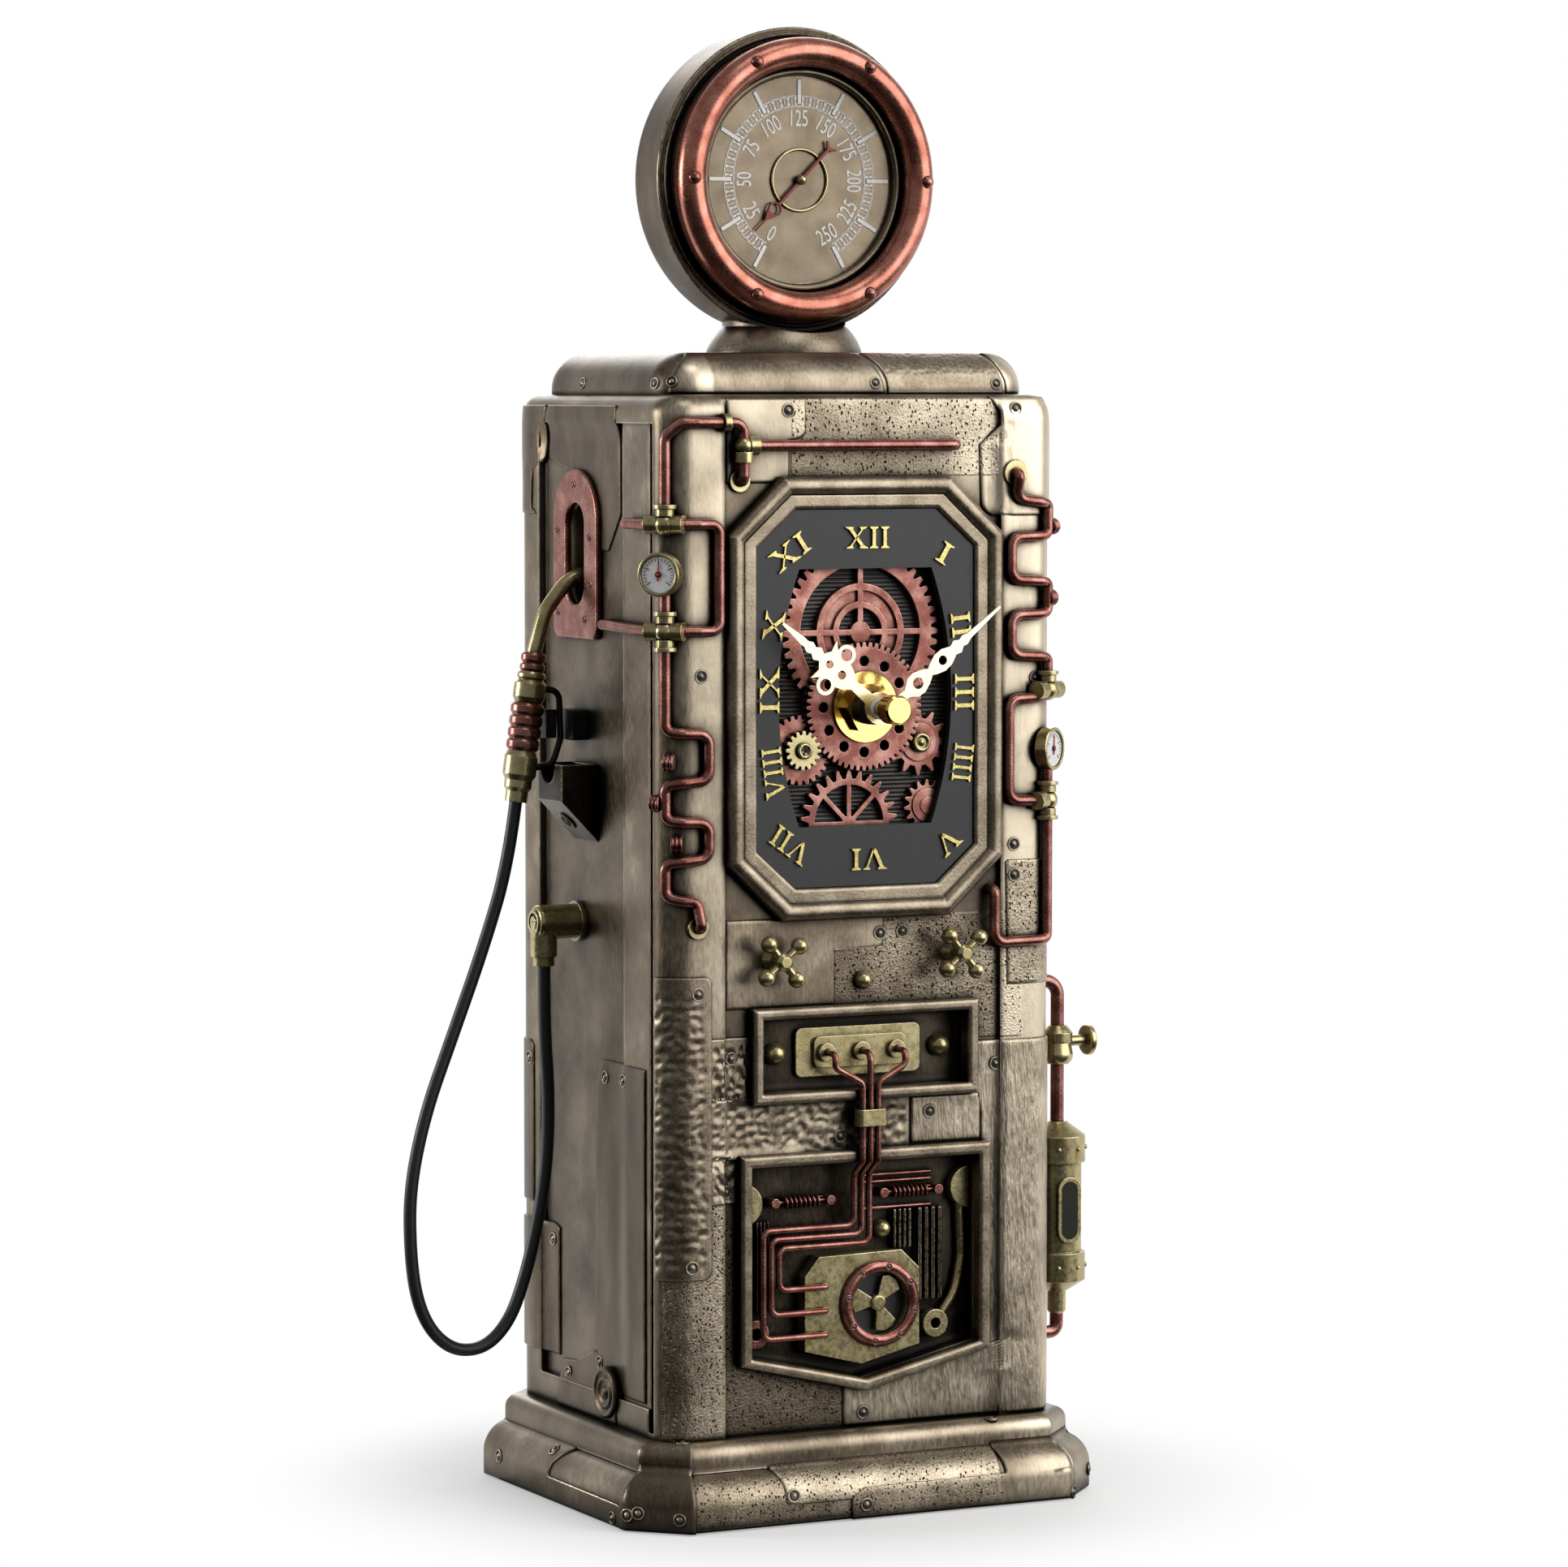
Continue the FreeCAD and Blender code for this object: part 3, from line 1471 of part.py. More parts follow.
# Slot panel: frame, brass plate with three bosses, and the tubes that leave them
slot_frame = new_body("slot_frame", (0, -front_panel, 0), "front")
slot_pad = pad(
    slot_frame,
    Loops(slot_frame)
    .loop(box_loop(-slot_x, slot_x, slot_low, slot_high))
    .loop(
        box_loop(
            -(slot_x - slot_bar), slot_x - slot_bar, slot_low + slot_bar, slot_high - slot_bar
        )
    ),
    slot_rise,
)
soften(slot_frame, slot_pad, 0.9, flat_at(slot_rise))

slot_floor = front_panel - slot_in
slot_mid = (slot_low + slot_high) * 0.5
boss_step = size("slotBossSpacing", 9.0)
slot_plate = new_body("slot_plate", (0, -slot_floor, slot_mid), "front")
low_plate = pad(slot_plate, Loops(slot_plate).loop(box_loop(-16.0, 16.0, -5.6, 5.6)), 1.3)
low_plate = soften(slot_plate, low_plate, 1.6, lambda box, edge: box.ZLength > 1)
high_plate = pad(slot_plate, Loops(slot_plate, 1.3).loop(box_loop(-11.8, 11.8, -3.6, 3.6)), 1.1)
high_plate = soften(
    slot_plate, high_plate, 1.6, lambda box, edge: abs(box.ZMax - 2.4) < 1e-4 and box.ZLength > 1
)
bosses = Loops(slot_plate, 2.4)
for i in (-1, 0, 1):
    bosses.circle((boss_step * i, 0), 2.1)
    bosses.circle((boss_step * i, 0), thin_r + 0.1)
pad(slot_plate, bosses, 1.2)

pane_floor = front_panel - pane_in
tube_y = -(front_panel + slot_rise + thin_r + 0.35).number
loop_y = tube_y + 2.9
tube_drop = 81.4
plate_top = 4.0
plate_face = -(pane_floor.number + plate_top)
tubes = []
for i, corner_x, turn_z, end_z in ((-1, -26.0, 66.4, 41.5), (0, -24.0, 64.3, 47.0), (1, -22.0, 62.2, 52.6)):
    boss_x = boss_step.number * i
    run_x = 1.95 * i
    jog_x = run_x - 0.8
    points = [(boss_x, -(slot_floor.number + 2.4), slot_mid.number), (boss_x, tube_y, slot_mid.number)]
    if i:
        points.append((boss_x, tube_y, 103.2))
        points.append((run_x, tube_y, 99.4))
    points += [
        (run_x, tube_y, tube_drop),
        (jog_x, loop_y, tube_drop - 3.2),
        (jog_x, loop_y, turn_z),
        (corner_x, loop_y, turn_z),
        (corner_x, loop_y, end_z),
        (-9.6, loop_y, end_z),
        (-9.6, plate_face, end_z),
    ]
    tubes.append(tube(points, thin_r.number, 1.9))
small_ring = disc(3.2, 2.6, -25.9, 42.2, -(pane_floor.number + 2.6)).cut(
    disc(1.5, 4, -25.9, 42.2, -(pane_floor.number + 3))
)
lug_span = ((-20.6, -8.3, 72.2), (7.4, 19.7, 73.0))
lug_r = 1.1
lug_seat = 0.15
lug_rise = 3.9
coil_y = -(pane_floor.number + 2.4)
lugs = []
for x0, x1, z in lug_span:
    for x in (x0 - lug_r + lug_seat, x1 + lug_r - lug_seat):
        lugs.append(disc(lug_r, lug_rise, x, z, -(pane_floor.number + lug_rise)))
    rod = Part.makeCylinder(0.4, x1 - x0 - 2 * lug_seat, Vector(x0 + lug_seat, coil_y, z), Vector(1, 0, 0))
    lugs.append(rod)
level_tubes = []
for z in (76.9, 75.3, 69.2):
    level_tubes.append(
        Part.makeCylinder(0.5, 19.0, Vector(1.0, -(pane_floor.number + 0.55), z), Vector(1, 0, 0))
    )
add_shape("slot_tubes", Part.makeCompound(tubes))
add_shape("pane_copper", Part.makeCompound([small_ring] + lugs + level_tubes))

collar_low = 89.6
collar = Part.makeBox(7.4, 3.4, 3.8, Vector(-3.7, tube_y - 1.7, collar_low))
collar_edges = [e for e in collar.Edges if e.BoundBox.ZLength > 1]
collar = collar.makeFillet(1.2, collar_edges)
collar_foot = Part.makeBox(
    4.4, -tube_y - front_panel.number, 2.6, Vector(-2.2, tube_y, collar_low + 0.6)
)
collar = collar.fuse(collar_foot)
for one in tubes:
    collar = collar.cut(one)
add_shape("tube_collar", collar.removeSplitter())

# Lower window: frame, fan plate, copper ring, fan, springs, ribs and brass trim
pane_frame = new_body("pane_frame", (0, -front_panel, 0), "front")
pane_pad = pad(pane_frame, Loops(pane_frame).loop(pentagon(0)).loop(pentagon(pane_bar)), pane_rise)
soften(pane_frame, pane_pad, 0.9, flat_at(pane_rise))

fan_x = size("fanPlace", 4.9)
fan_z = size("fanHeight", 47.6)
fan_hole = size("fanHoleRadius", 7.4)
fan_plate = new_body("fan_plate", (0, -pane_floor, 0), "front")
pad(
    fan_plate,
    Loops(fan_plate).loop(
        [
            (-10.6, 59.2),
            (-14.2, 54.8),
            (-14.2, 37.6),
            (0.4, 33.8),
            (15.4, 37.4),
            (15.4, 55.2),
            (10.8, 59.6),
        ]
    ),
    plate_top,
)
pocket(fan_plate, Loops(fan_plate, plate_top).circle((fan_x, fan_z), fan_hole), 2.4)

fan_ring = new_body("fan_ring", (fan_x, -(pane_floor + plate_top), fan_z), "front")
revolve(
    fan_ring,
    [(fan_hole, 0), (10.1, 0), (10.1, 0.7), (fan_hole + 0.4, 1.5), (fan_hole, 1.2)],
    {2: (9.4, 1.5)},
)

fan = new_body("fan", (fan_x, -(pane_floor + plate_top - 2.4), fan_z), "front", 37)
blade = pad(
    fan,
    Loops(fan, 1.2).loop([(-0.8, 1.2), (0.8, 1.2), (2.9, 5.6), (1.0, 6.8), (-1.2, 6.7), (-2.6, 5.6)]),
    0.7,
)
spin = fan.newObject("PartDesign::PolarPattern", "blades")
spin.Originals = [blade]
spin.Axis = (blade.Profile[0], ["N_Axis"])
spin.Angle = 360
spin.Occurrences = 3
fan.Tip = spin
doc.recompute()
hub_pad = pad(fan, Loops(fan, 0).circle((0, 0), 1.9), 2.6)
soften(fan, hub_pad, 0.55, flat_at(2.6))


def arc_between(start, way, end):
    # The arc that leaves start along way and passes through end.
    chord_line = end - start
    side_way = chord_line - way * chord_line.dot(way)
    if side_way.Length < 1e-7:
        return Part.LineSegment(start, end).toShape()
    side_way = side_way.normalize()
    across = chord_line.dot(side_way)
    radius_here = chord_line.dot(chord_line) / (2 * across)
    centre = start + side_way * radius_here
    middle = (start + end) * 0.5 - centre
    turned = chord_line.getAngle(way) * 2
    if turned > math.pi:
        middle = middle * -1
    return Part.Arc(start, centre + middle.normalize() * radius_here, end).toShape()


def biarc(start, way_in, end, way_out):
    # Two arcs that meet smoothly, with equal reach along both end directions.
    gap = end - start
    both = way_in + way_out
    spread = 2 * (1 - way_in.dot(way_out))
    part_one = gap.dot(both)
    if spread < 1e-9:
        reach = gap.dot(gap) / (2 * part_one)
    else:
        reach = (math.sqrt(part_one**2 + spread * gap.dot(gap)) - part_one) / spread
    joint = (start + way_in * reach + end - way_out * reach) * 0.5
    turn_way = (end - way_out * reach - start - way_in * reach).normalize()
    return [arc_between(start, way_in, joint), arc_between(joint, turn_way, end)]


coil_r = size("springRadius", 1.2)
coil_wire = size("springWireRadius", 0.34)
coil_turns = 8


def spring(x0, x1, y, z):
    # A helix round the X axis, from a formula, with both ends led straight to their lugs.
    reach = 1.5
    start_x = x0 + reach
    pitch = (x1 - x0 - 2 * reach) / coil_turns
    big = coil_r.number
    climb = pitch / (2 * math.pi)

    def spot(angle):
        return Vector(start_x + climb * angle, y + big * math.cos(angle), z + big * math.sin(angle))

    def way(angle):
        return Vector(climb, -big * math.sin(angle), big * math.cos(angle)).normalize()

    edges = []
    small_bend = 0.6
    first = spot(0)
    along = Vector(1, 0, 0)
    lead = first - way(0) * small_bend - along * small_bend
    outer = Vector(x0, lead.y, lead.z)
    edges.append(Part.LineSegment(outer, lead).toShape())
    edges += biarc(lead, along, first, way(0))
    for i in range(4 * coil_turns):
        a = math.pi / 2 * i
        b = math.pi / 2 * (i + 1)
        edges += biarc(spot(a), way(a), spot(b), way(b))
    last_angle = 2 * math.pi * coil_turns
    last = spot(last_angle)
    lead = last + way(last_angle) * small_bend + along * small_bend
    edges += biarc(last, way(last_angle), lead, along)
    edges.append(Part.LineSegment(lead, Vector(x1, lead.y, lead.z)).toShape())
    wire = Part.Wire(edges)
    section = Part.Wire([Part.Circle(outer, along, coil_wire.number).toShape()])
    made = wire.makePipeShell([section], True, False)
    gap = math.sqrt(pitch**2 * big**2 / (big**2 + climb**2)) - 2 * coil_wire.number
    ratio = made.Volume / (math.pi * coil_wire.number**2 * wire.Length)
    print("spring gap between turns", round(gap, 2), "volume ratio", round(ratio, 4))
    return made


add_shape("coil_springs", Part.makeCompound([spring(x0, x1, coil_y, z) for x0, x1, z in lug_span]))


def comb(count, first, step, width, foot, rise):
    # The section of a ribbed plate, from below.
    corners = [(first - 0.4, 0)]
    for i in range(count):
        x = first + step * i
        corners += [(x, foot), (x, rise), (x + width, rise), (x + width, foot)]
    last = first + step * (count - 1) + width + 0.4
    corners[0:1] = [(first - 0.4, 0), (first - 0.4, foot)]
    corners += [(last, foot), (last, 0)]
    return corners


pane_ribs = []
for first, count, step, width, low_z, high_z in (
    (16.2, 4, 1.75, 0.9, 47.4, 68.7),
    (9.8, 4, 1.3, 0.6, 59.8, 68.7),
    (-25.6, 4, 0.92, 0.42, 47.3, 67.9),
):
    spots = [
        Vector(float(x), -(pane_floor.number + float(depth)), low_z)
        for x, depth in comb(count, first, step, width, 0.6, 2.0)
    ]
    rib_face = Part.Face(Part.makePolygon(spots + [spots[0]]))
    pane_ribs.append(rib_face.extrude(Vector(0, 0, high_z - low_z)))
add_shape("pane_ribs", Part.makeCompound(pane_ribs))


def dome(x, z, outer, level, foot=0.8):
    # A round-headed boss that stands on a level.
    made = Part.makeCylinder(outer, foot, Vector(x, level, z), Vector(0, -1, 0))
    head = Part.makeSphere(outer, Vector(x, level - foot, z))
    head = head.common(Part.makeBox(20, 20, 20, Vector(x - 10, level - foot - 20, z - 10)))
    return made.fuse(head).removeSplitter()


floor_y = -pane_floor.number
inner_side = (pane_x - pane_bar).number - 0.1
brass_bits = []
for side, z in ((-1, 72.1), (1, 73.0)):
    lobe = disc(4.8, 2.6, side * inner_side, z, floor_y - 2.6)
    keep = Part.makeBox(8, 4, 14, Vector(-8 + (8 if side < 0 else 0) + side * inner_side, floor_y - 3, z - 7))
    brass_bits.append(lobe.common(keep))
arm = tube(
    [
        (27.1, floor_y - 1.4, 69.6),
        (27.6, floor_y - 1.4, 57.0),
        (26.0, floor_y - 1.4, 48.6),
        (21.6, floor_y - 1.4, 42.6),
    ],
    1.0,
    12.0,
)
eye = disc(3.2, 2.8, 20.4, 41.6, floor_y - 2.8)
arm_hole = disc(1.3, 6, 20.4, 41.6, floor_y - 4)
brass_bits[1] = merged([brass_bits[1], arm, eye]).cut(arm_hole).removeSplitter()
brass_bits.append(dome(7.2, 64.3, 2.1, floor_y))
for side in (-1, 1):
    brass_bits.append(dome(21.2 * side, slot_mid.number, 2.5, -slot_floor.number))
brass_bits.append(dome(0.0, 122.7, 2.0, -front_panel.number))
add_shape("brass_trim", Part.makeCompound(brass_bits))

# Left side: slot plate, nozzle, its rest, hose and hose fitting
slot_shield = new_body("nozzle_slot_plate", (-side_panel, slot_side_y, slot_side_z), "left")
shield = Loops(slot_shield)
shield_foot = -pill_h + pill_corner
shield.loop(
    [
        (pill_r, shield_foot),
        (pill_r, pill_h - pill_r),
        (-pill_r, pill_h - pill_r),
        (-pill_r, shield_foot),
        (-(pill_r - pill_corner), -pill_h),
        (pill_r - pill_corner, -pill_h),
    ],
    {
        1: (0, pill_h),
        3: (-(pill_r - pill_corner * 0.293), -pill_h + pill_corner * 0.293),
        5: (pill_r - pill_corner * 0.293, -pill_h + pill_corner * 0.293),
    },
)
shield.loop(*pill(mouth_r, mouth_h, 0, 0))
shield_pad = pad(slot_shield, shield, pill_t)
soften(slot_shield, shield_pad, 0.6, flat_at(pill_t))

ny = nozzle_y.number
nozzle_top = Vector(-60.7, ny, 195.2)
nozzle_end = Vector(-65.25, ny, 162.6)
lean = (nozzle_end - nozzle_top).normalize()
reach = (nozzle_end - nozzle_top).Length
spout_r = size("spoutRadius", 1.75)
spout = tube(
    [
        (-40.5, ny, 215.6),
        (-51.4, ny, 214.4),
        (-57.6, ny, 206.6),
        tuple(nozzle_top - lean * 2.2),
        tuple(nozzle_top + lean * 2.6),
    ],
    spout_r.number,
    9.0,
)
add_shape("spout", spout)


def nozzle_part(label, corners):
    body = doc.addObject("PartDesign::Body", label)
    body.Label = label
    body.Placement = FreeCAD.Placement(nozzle_top, FreeCAD.Rotation(Vector(0, 0, 1), lean))
    pieces.append(body)
    revolve(body, corners)
    return body


core_r = 2.4
grip_start, grip_end = 9.9, 21.0
nozzle_body = nozzle_part(
    "nozzle_body",
    [
        (0, 2.6),
        (2.9, 2.6),
        (3.3, 3.2),
        (3.3, 4.0),
        (2.9, 4.4),
        (3.75, 5.4),
        (3.75, 8.6),
        (3.1, grip_start),
        (core_r, grip_start),
        (core_r, grip_end),
        (3.3, grip_end),
        (3.9, 22.4),
        (3.9, 26.6),
        (3.2, 27.8),
        (3.2, 29.6),
        (2.6, 30.4),
        (2.6, reach),
        (0, reach),
    ],
)
rings = [(core_r + 0.05, grip_start + 0.05)]
ring_len = (grip_end - grip_start - 0.1) / 4
for i in range(4):
    z0 = grip_start + 0.05 + ring_len * i
    rings += [
        (3.35, z0),
        (3.85, z0 + ring_len * 0.25),
        (3.85, z0 + ring_len * 0.75),
    ]
rings += [(3.35, grip_end - 0.05), (core_r + 0.05, grip_end - 0.05)]
nozzle_grip = nozzle_part("nozzle_grip", rings)
nozzle_part(
    "nozzle_collar",
    [
        (spout_r + 0.05, -1.8),
        (2.5, -1.8),
        (2.95, -1.2),
        (2.95, 0.0),
        (2.45, 0.5),
        (2.95, 1.1),
        (2.95, 2.0),
        (2.6, 2.55),
        (spout_r + 0.05, 2.55),
    ],
)
guard_loop = tube(
    [
        (-59.0, ny, 188.6),
        (-54.3, ny, 188.0),
        (-53.9, ny, 177.0),
        (-56.0, ny, 171.0),
        (-62.0, ny, 170.2),
    ],
    0.8,
    3.0,
).cut(nozzle_body.Shape)
guard_loop = max(guard_loop.Solids, key=lambda solid: solid.Volume)
trigger = Part.makeBox(2.6, 3.2, 6.6, Vector(-58.2, ny - 1.6, 177.2))
add_shape("trigger_guard", Part.makeCompound([guard_loop, trigger]))

peg = new_body("nozzle_peg", (-side_panel, nozzle_y - 1.0, 180.2), "left")
peg_pad = pad(peg, Loops(peg).loop(box_loop(-4.0, 4.0, -3.5, 3.5)), 3.85)
soften(peg, peg_pad, 0.8, lambda box, edge: box.ZLength > 1)

boot_top = size("bootTop", 171.4)
boot_out = size("bootReach", 9.3)
boot_back = size("bootBackEdge", 10.4)
boot_w = size("bootWidth", 13.0)
boot_wall = size("bootWall", 1.2)
boot = new_body("nozzle_boot", (0, boot_back, 0), "front")
wedge = [
    (-side_panel, boot_top - 18.0),
    (-side_panel, boot_top),
    (-(side_panel + boot_out), boot_top),
    (-(side_panel + boot_out), boot_top - 8.4),
]
pad(boot, Loops(boot).loop(wedge), boot_w)
hollow = [
    (-(side_panel + boot_wall), boot_top - 14.0),
    (-(side_panel + boot_wall), boot_top),
    (-(side_panel + boot_out - boot_wall), boot_top),
    (-(side_panel + boot_out - boot_wall), boot_top - 7.6),
]
pocket(
    boot, Loops(boot, boot_w - boot_wall).loop(hollow), boot_w - boot_wall * 2
)
notch_r = 3.9
notch_mid = boot_w * 0.4
notch = Loops(boot, -(side_panel + boot_out), "YZ_Plane").loop(
    [
        (boot_top, notch_mid - notch_r),
        (boot_top, notch_mid + notch_r),
        (boot_top - 0.6, notch_mid + notch_r),
        (boot_top - 0.6, notch_mid - notch_r),
    ],
    {2: (boot_top - 0.6 - notch_r, notch_mid)},
)
pocket(boot, notch, boot_wall + 0.2, back=True)

fitting_z = size("hoseFittingHeight", 134.4)
elbow_x = -58.2
barrel_r = size("hoseFittingRadius", 4.0)
barrel_len = size("hoseFittingLength", 11.4).number
flange_r = barrel_r.number + 0.7
wall_at = Vector(-side_panel.number, ny, fitting_z.number)
outward = Vector(-1, 0, 0)
upright = Vector(0, 0, 1)
fitting = Part.makeCylinder(barrel_r.number, barrel_len, wall_at, outward)
outer_rim = [e for e in fitting.Edges if e.BoundBox.XMax < wall_at.x - barrel_len + 0.1]
fitting = fitting.makeFillet(0.9, outer_rim)
fitting = fitting.fuse(Part.makeCylinder(flange_r, 1.4, wall_at, outward))
cap_foot = wall_at + outward * (barrel_len - 0.4)
cap_ring = Part.makeCylinder(2.9, 0.9, cap_foot, outward)
cap_ring = cap_ring.cut(Part.makeCylinder(2.2, 2.0, cap_foot, outward))
fitting = fitting.fuse([cap_ring, Part.makeCylinder(1.5, 0.9, cap_foot, outward)])
socket_low = 124.3
socket_mid = socket_low + 2.2
for radius, low, high in ((3.1, socket_mid, fitting_z.number), (2.5, socket_low, socket_mid)):
    fitting = fitting.fuse(Part.makeCylinder(radius, high - low, Vector(elbow_x, ny, low), upright))
add_shape("hose_fitting", fitting.removeSplitter())

# The hose hangs from the nozzle to its fitting
hose_route = [
    tuple(nozzle_end),
    tuple(nozzle_end + lean * 14.5),
    (-73.4, ny, 129.5),
    (-81.6, ny, 108.5),
    (-88.3, ny, 91.5),
    (-92.2, ny, 74.5),
    (-92.2, ny, 60.0),
    (-90.7, ny, 48.5),
    (-87.0, ny, 40.6),
    (-81.0, ny, 35.8),
    (-73.4, ny, 36.0),
    (-67.4, ny, 41.6),
    (-63.6, ny, 50.8),
    (-60.2, ny, 63.4),
    (-57.6, ny, 78.0),
    (-57.0, ny, 94.0),
    (elbow_x, ny, 109.5),
    (elbow_x, ny, 124.3),
]
radii = []
hose = tube(hose_route, hose_r.number, 1000.0, radii)
print("hose radii", radii)
add_shape("hose", hose)

# Right side: pipe with a valve, canister and elbow
can_y = -28.0
pipe_x = 58.0
side_r = size("sidePipeRadius", 1.6)
wall = wall_x(can_y)
pipe_top, pipe_foot = 118.9, 35.6
valve_top, valve_low = 108.3, 99.2
can_top, can_low = 85.6, 40.0
pipe_ways = (
    (((wall, pipe_top), (pipe_x, pipe_top), (pipe_x, valve_top)), 7.5),
    (((pipe_x, valve_low), (pipe_x, can_top)), 4.0),
    (((pipe_x, can_low), (pipe_x, pipe_foot), (wall, pipe_foot)), 4.2),
)
side_parts = [tube([(x, can_y, z) for x, z in way], side_r.number, bend) for way, bend in pipe_ways]
add_shape("side_pipe", Part.makeCompound(side_parts))

side_valve = new_body("side_valve", (pipe_x, can_y, valve_low))
valve_len = valve_top - valve_low
valve_r = size("sideValveRadius", 3.7)
revolve(
    side_valve,
    [
        (0, 0),
        (valve_r - 1.0, 0),
        (valve_r, 2.4),
        (valve_r - 0.5, 5.0),
        (valve_r - 0.1, 5.4),
        (valve_r - 0.1, 7.3),
        (valve_r - 0.6, 8.0),
        (valve_r - 1.6, valve_len),
        (0, valve_len),
    ],
    {1: (valve_r - 0.25, 0.9)},
)
knob_z = 5.2
knob_stem = Loops(side_valve, 0, "YZ_Plane").circle((0, knob_z), 1.3)
pad(side_valve, knob_stem, 7.6)
knob_disc = Loops(side_valve, 7.4, "YZ_Plane").circle((0, knob_z), 3.6)
knob_pad = pad(side_valve, knob_disc, 1.6)
soften(
    side_valve, knob_pad, 0.5, lambda box, edge: box.XMin > 7.0 and box.XLength < 0.01 and box.YLength > 6
)

canister = new_body("canister", (pipe_x, can_y, can_low))
can_r = size("canisterRadius", 5.8)
can_band = can_r + 0.9
rise = can_top - can_low
revolve(
    canister,
    [
        (0, 0),
        (1.7, 0),
        (2.2, 0.6),
        (2.2, 5.2),
        (can_band, 8.1),
        (can_band, 14.7),
        (can_r, 14.9),
        (can_r, rise - 9.7),
        (can_band, rise - 9.5),
        (can_band, rise - 3.3),
        (2.7, rise - 0.4),
        (2.3, rise),
        (0, rise),
    ],
)


def finish():
    bad = []
    for thing in doc.Objects:
        if "Invalid" in thing.State or "Error" in thing.State:
            bad.append(thing.Label)
    for piece in pieces:
        if piece.Shape.isNull() or not piece.Shape.isValid() or not piece.Shape.Solids:
            bad.append(piece.Label)
    if bad:
        raise ValueError("failed: " + ", ".join(sorted(set(bad))))
    for piece in pieces:
        piece.Shape.exportStep("parts/" + piece.Label + ".step")
    print(len(pieces), "pieces")


doc.recompute()
finish()
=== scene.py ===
import json
from math import copysign, cos, pi, radians, sin, sqrt

import bpy
import numpy as np
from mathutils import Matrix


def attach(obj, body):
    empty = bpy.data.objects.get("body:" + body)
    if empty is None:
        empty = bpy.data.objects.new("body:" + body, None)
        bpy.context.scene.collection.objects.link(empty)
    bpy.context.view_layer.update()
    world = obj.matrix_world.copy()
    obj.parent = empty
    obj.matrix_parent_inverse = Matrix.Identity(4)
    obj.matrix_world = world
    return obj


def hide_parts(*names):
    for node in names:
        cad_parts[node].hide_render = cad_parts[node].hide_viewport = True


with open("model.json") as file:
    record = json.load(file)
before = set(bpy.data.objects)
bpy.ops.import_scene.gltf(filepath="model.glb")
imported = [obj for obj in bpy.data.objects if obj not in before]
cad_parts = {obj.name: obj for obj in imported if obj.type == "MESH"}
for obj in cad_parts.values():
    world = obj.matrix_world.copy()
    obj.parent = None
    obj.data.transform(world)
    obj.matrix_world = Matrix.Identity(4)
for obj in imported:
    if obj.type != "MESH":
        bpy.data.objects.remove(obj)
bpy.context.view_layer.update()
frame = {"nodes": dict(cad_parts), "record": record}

# Camera: the place and lens that the photograph was taken with; metres, degrees, millimetres
cameraView = {
    "location": (-0.61776, -1.22629, 0.25917),
    "elevation": 3.91,
    "azimuth": -26.74,
    "lens": {"sensor_fit": "HORIZONTAL", "sensor_width": 36, "lens": 134.68,
             "clip_start": 0.05, "clip_end": 30},
}


def setAll(target, values):
    for key, value in values.items():
        setattr(target, key, value)


def linked(name, data):
    made = bpy.data.objects.new(name, data)
    bpy.context.collection.objects.link(made)
    return made


def makeCamera(location, elevation, azimuth, lens):
    data = bpy.data.cameras.new("photoCamera")
    setAll(data, lens)
    camera = linked("photoCamera", data)
    camera.location = location
    camera.rotation_euler = (radians(90 - elevation), 0, radians(azimuth))
    bpy.context.scene.camera = camera
    bpy.context.scene.view_settings.view_transform = "Standard"


makeCamera(**cameraView)

# The rubber hose, in metres. It hangs in one upright plane, so a route point is (x, z). It
# leaves along the nozzle's own line and ends in the side fitting.
nozzleTop, nozzleEnd = np.array([-0.0607, 0.1952]), np.array([-0.06525, 0.1626])
nozzleWay = (nozzleEnd - nozzleTop) / np.linalg.norm(nozzleEnd - nozzleTop)
hoseRoute = [
    nozzleEnd, nozzleEnd + nozzleWay * 0.0145, (-0.0734, 0.1295), (-0.0816, 0.1085),
    (-0.0883, 0.0915), (-0.0922, 0.0745), (-0.0922, 0.0600), (-0.0907, 0.0485), (-0.0870, 0.0406),
    (-0.0810, 0.0358), (-0.0734, 0.0360), (-0.0674, 0.0416), (-0.0636, 0.0508), (-0.0602, 0.0634),
    (-0.0576, 0.0780), (-0.0570, 0.0940), (-0.0582, 0.1095), (-0.0582, 0.1243),
]
hoseValues = {
    "radius": 0.0015,
    "length": 0.234,
    "points": [(x, 0.008, z) for x, z in hoseRoute],
}


def makeHose(values):
    curve = bpy.data.curves.new("rubberHose", "CURVE")
    setAll(curve, {"dimensions": "3D", "resolution_u": 12, "bevel_depth": 1, "bevel_resolution": 6})
    curve.use_fill_caps = True
    spline = curve.splines.new("NURBS")
    spline.points.add(len(values["points"]) - 1)
    for point, place in zip(spline.points, values["points"]):
        point.co = (*place, 1)
        point.radius = values["radius"]
    spline.order_u = 3
    spline.use_endpoint_u = True
    hose = linked("rubberHose", curve)
    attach(hose, "housing")
    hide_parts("hose")
    values["radius"] * 2
    return hose


rubberHose = makeHose(hoseValues)
print("camera and hose made")


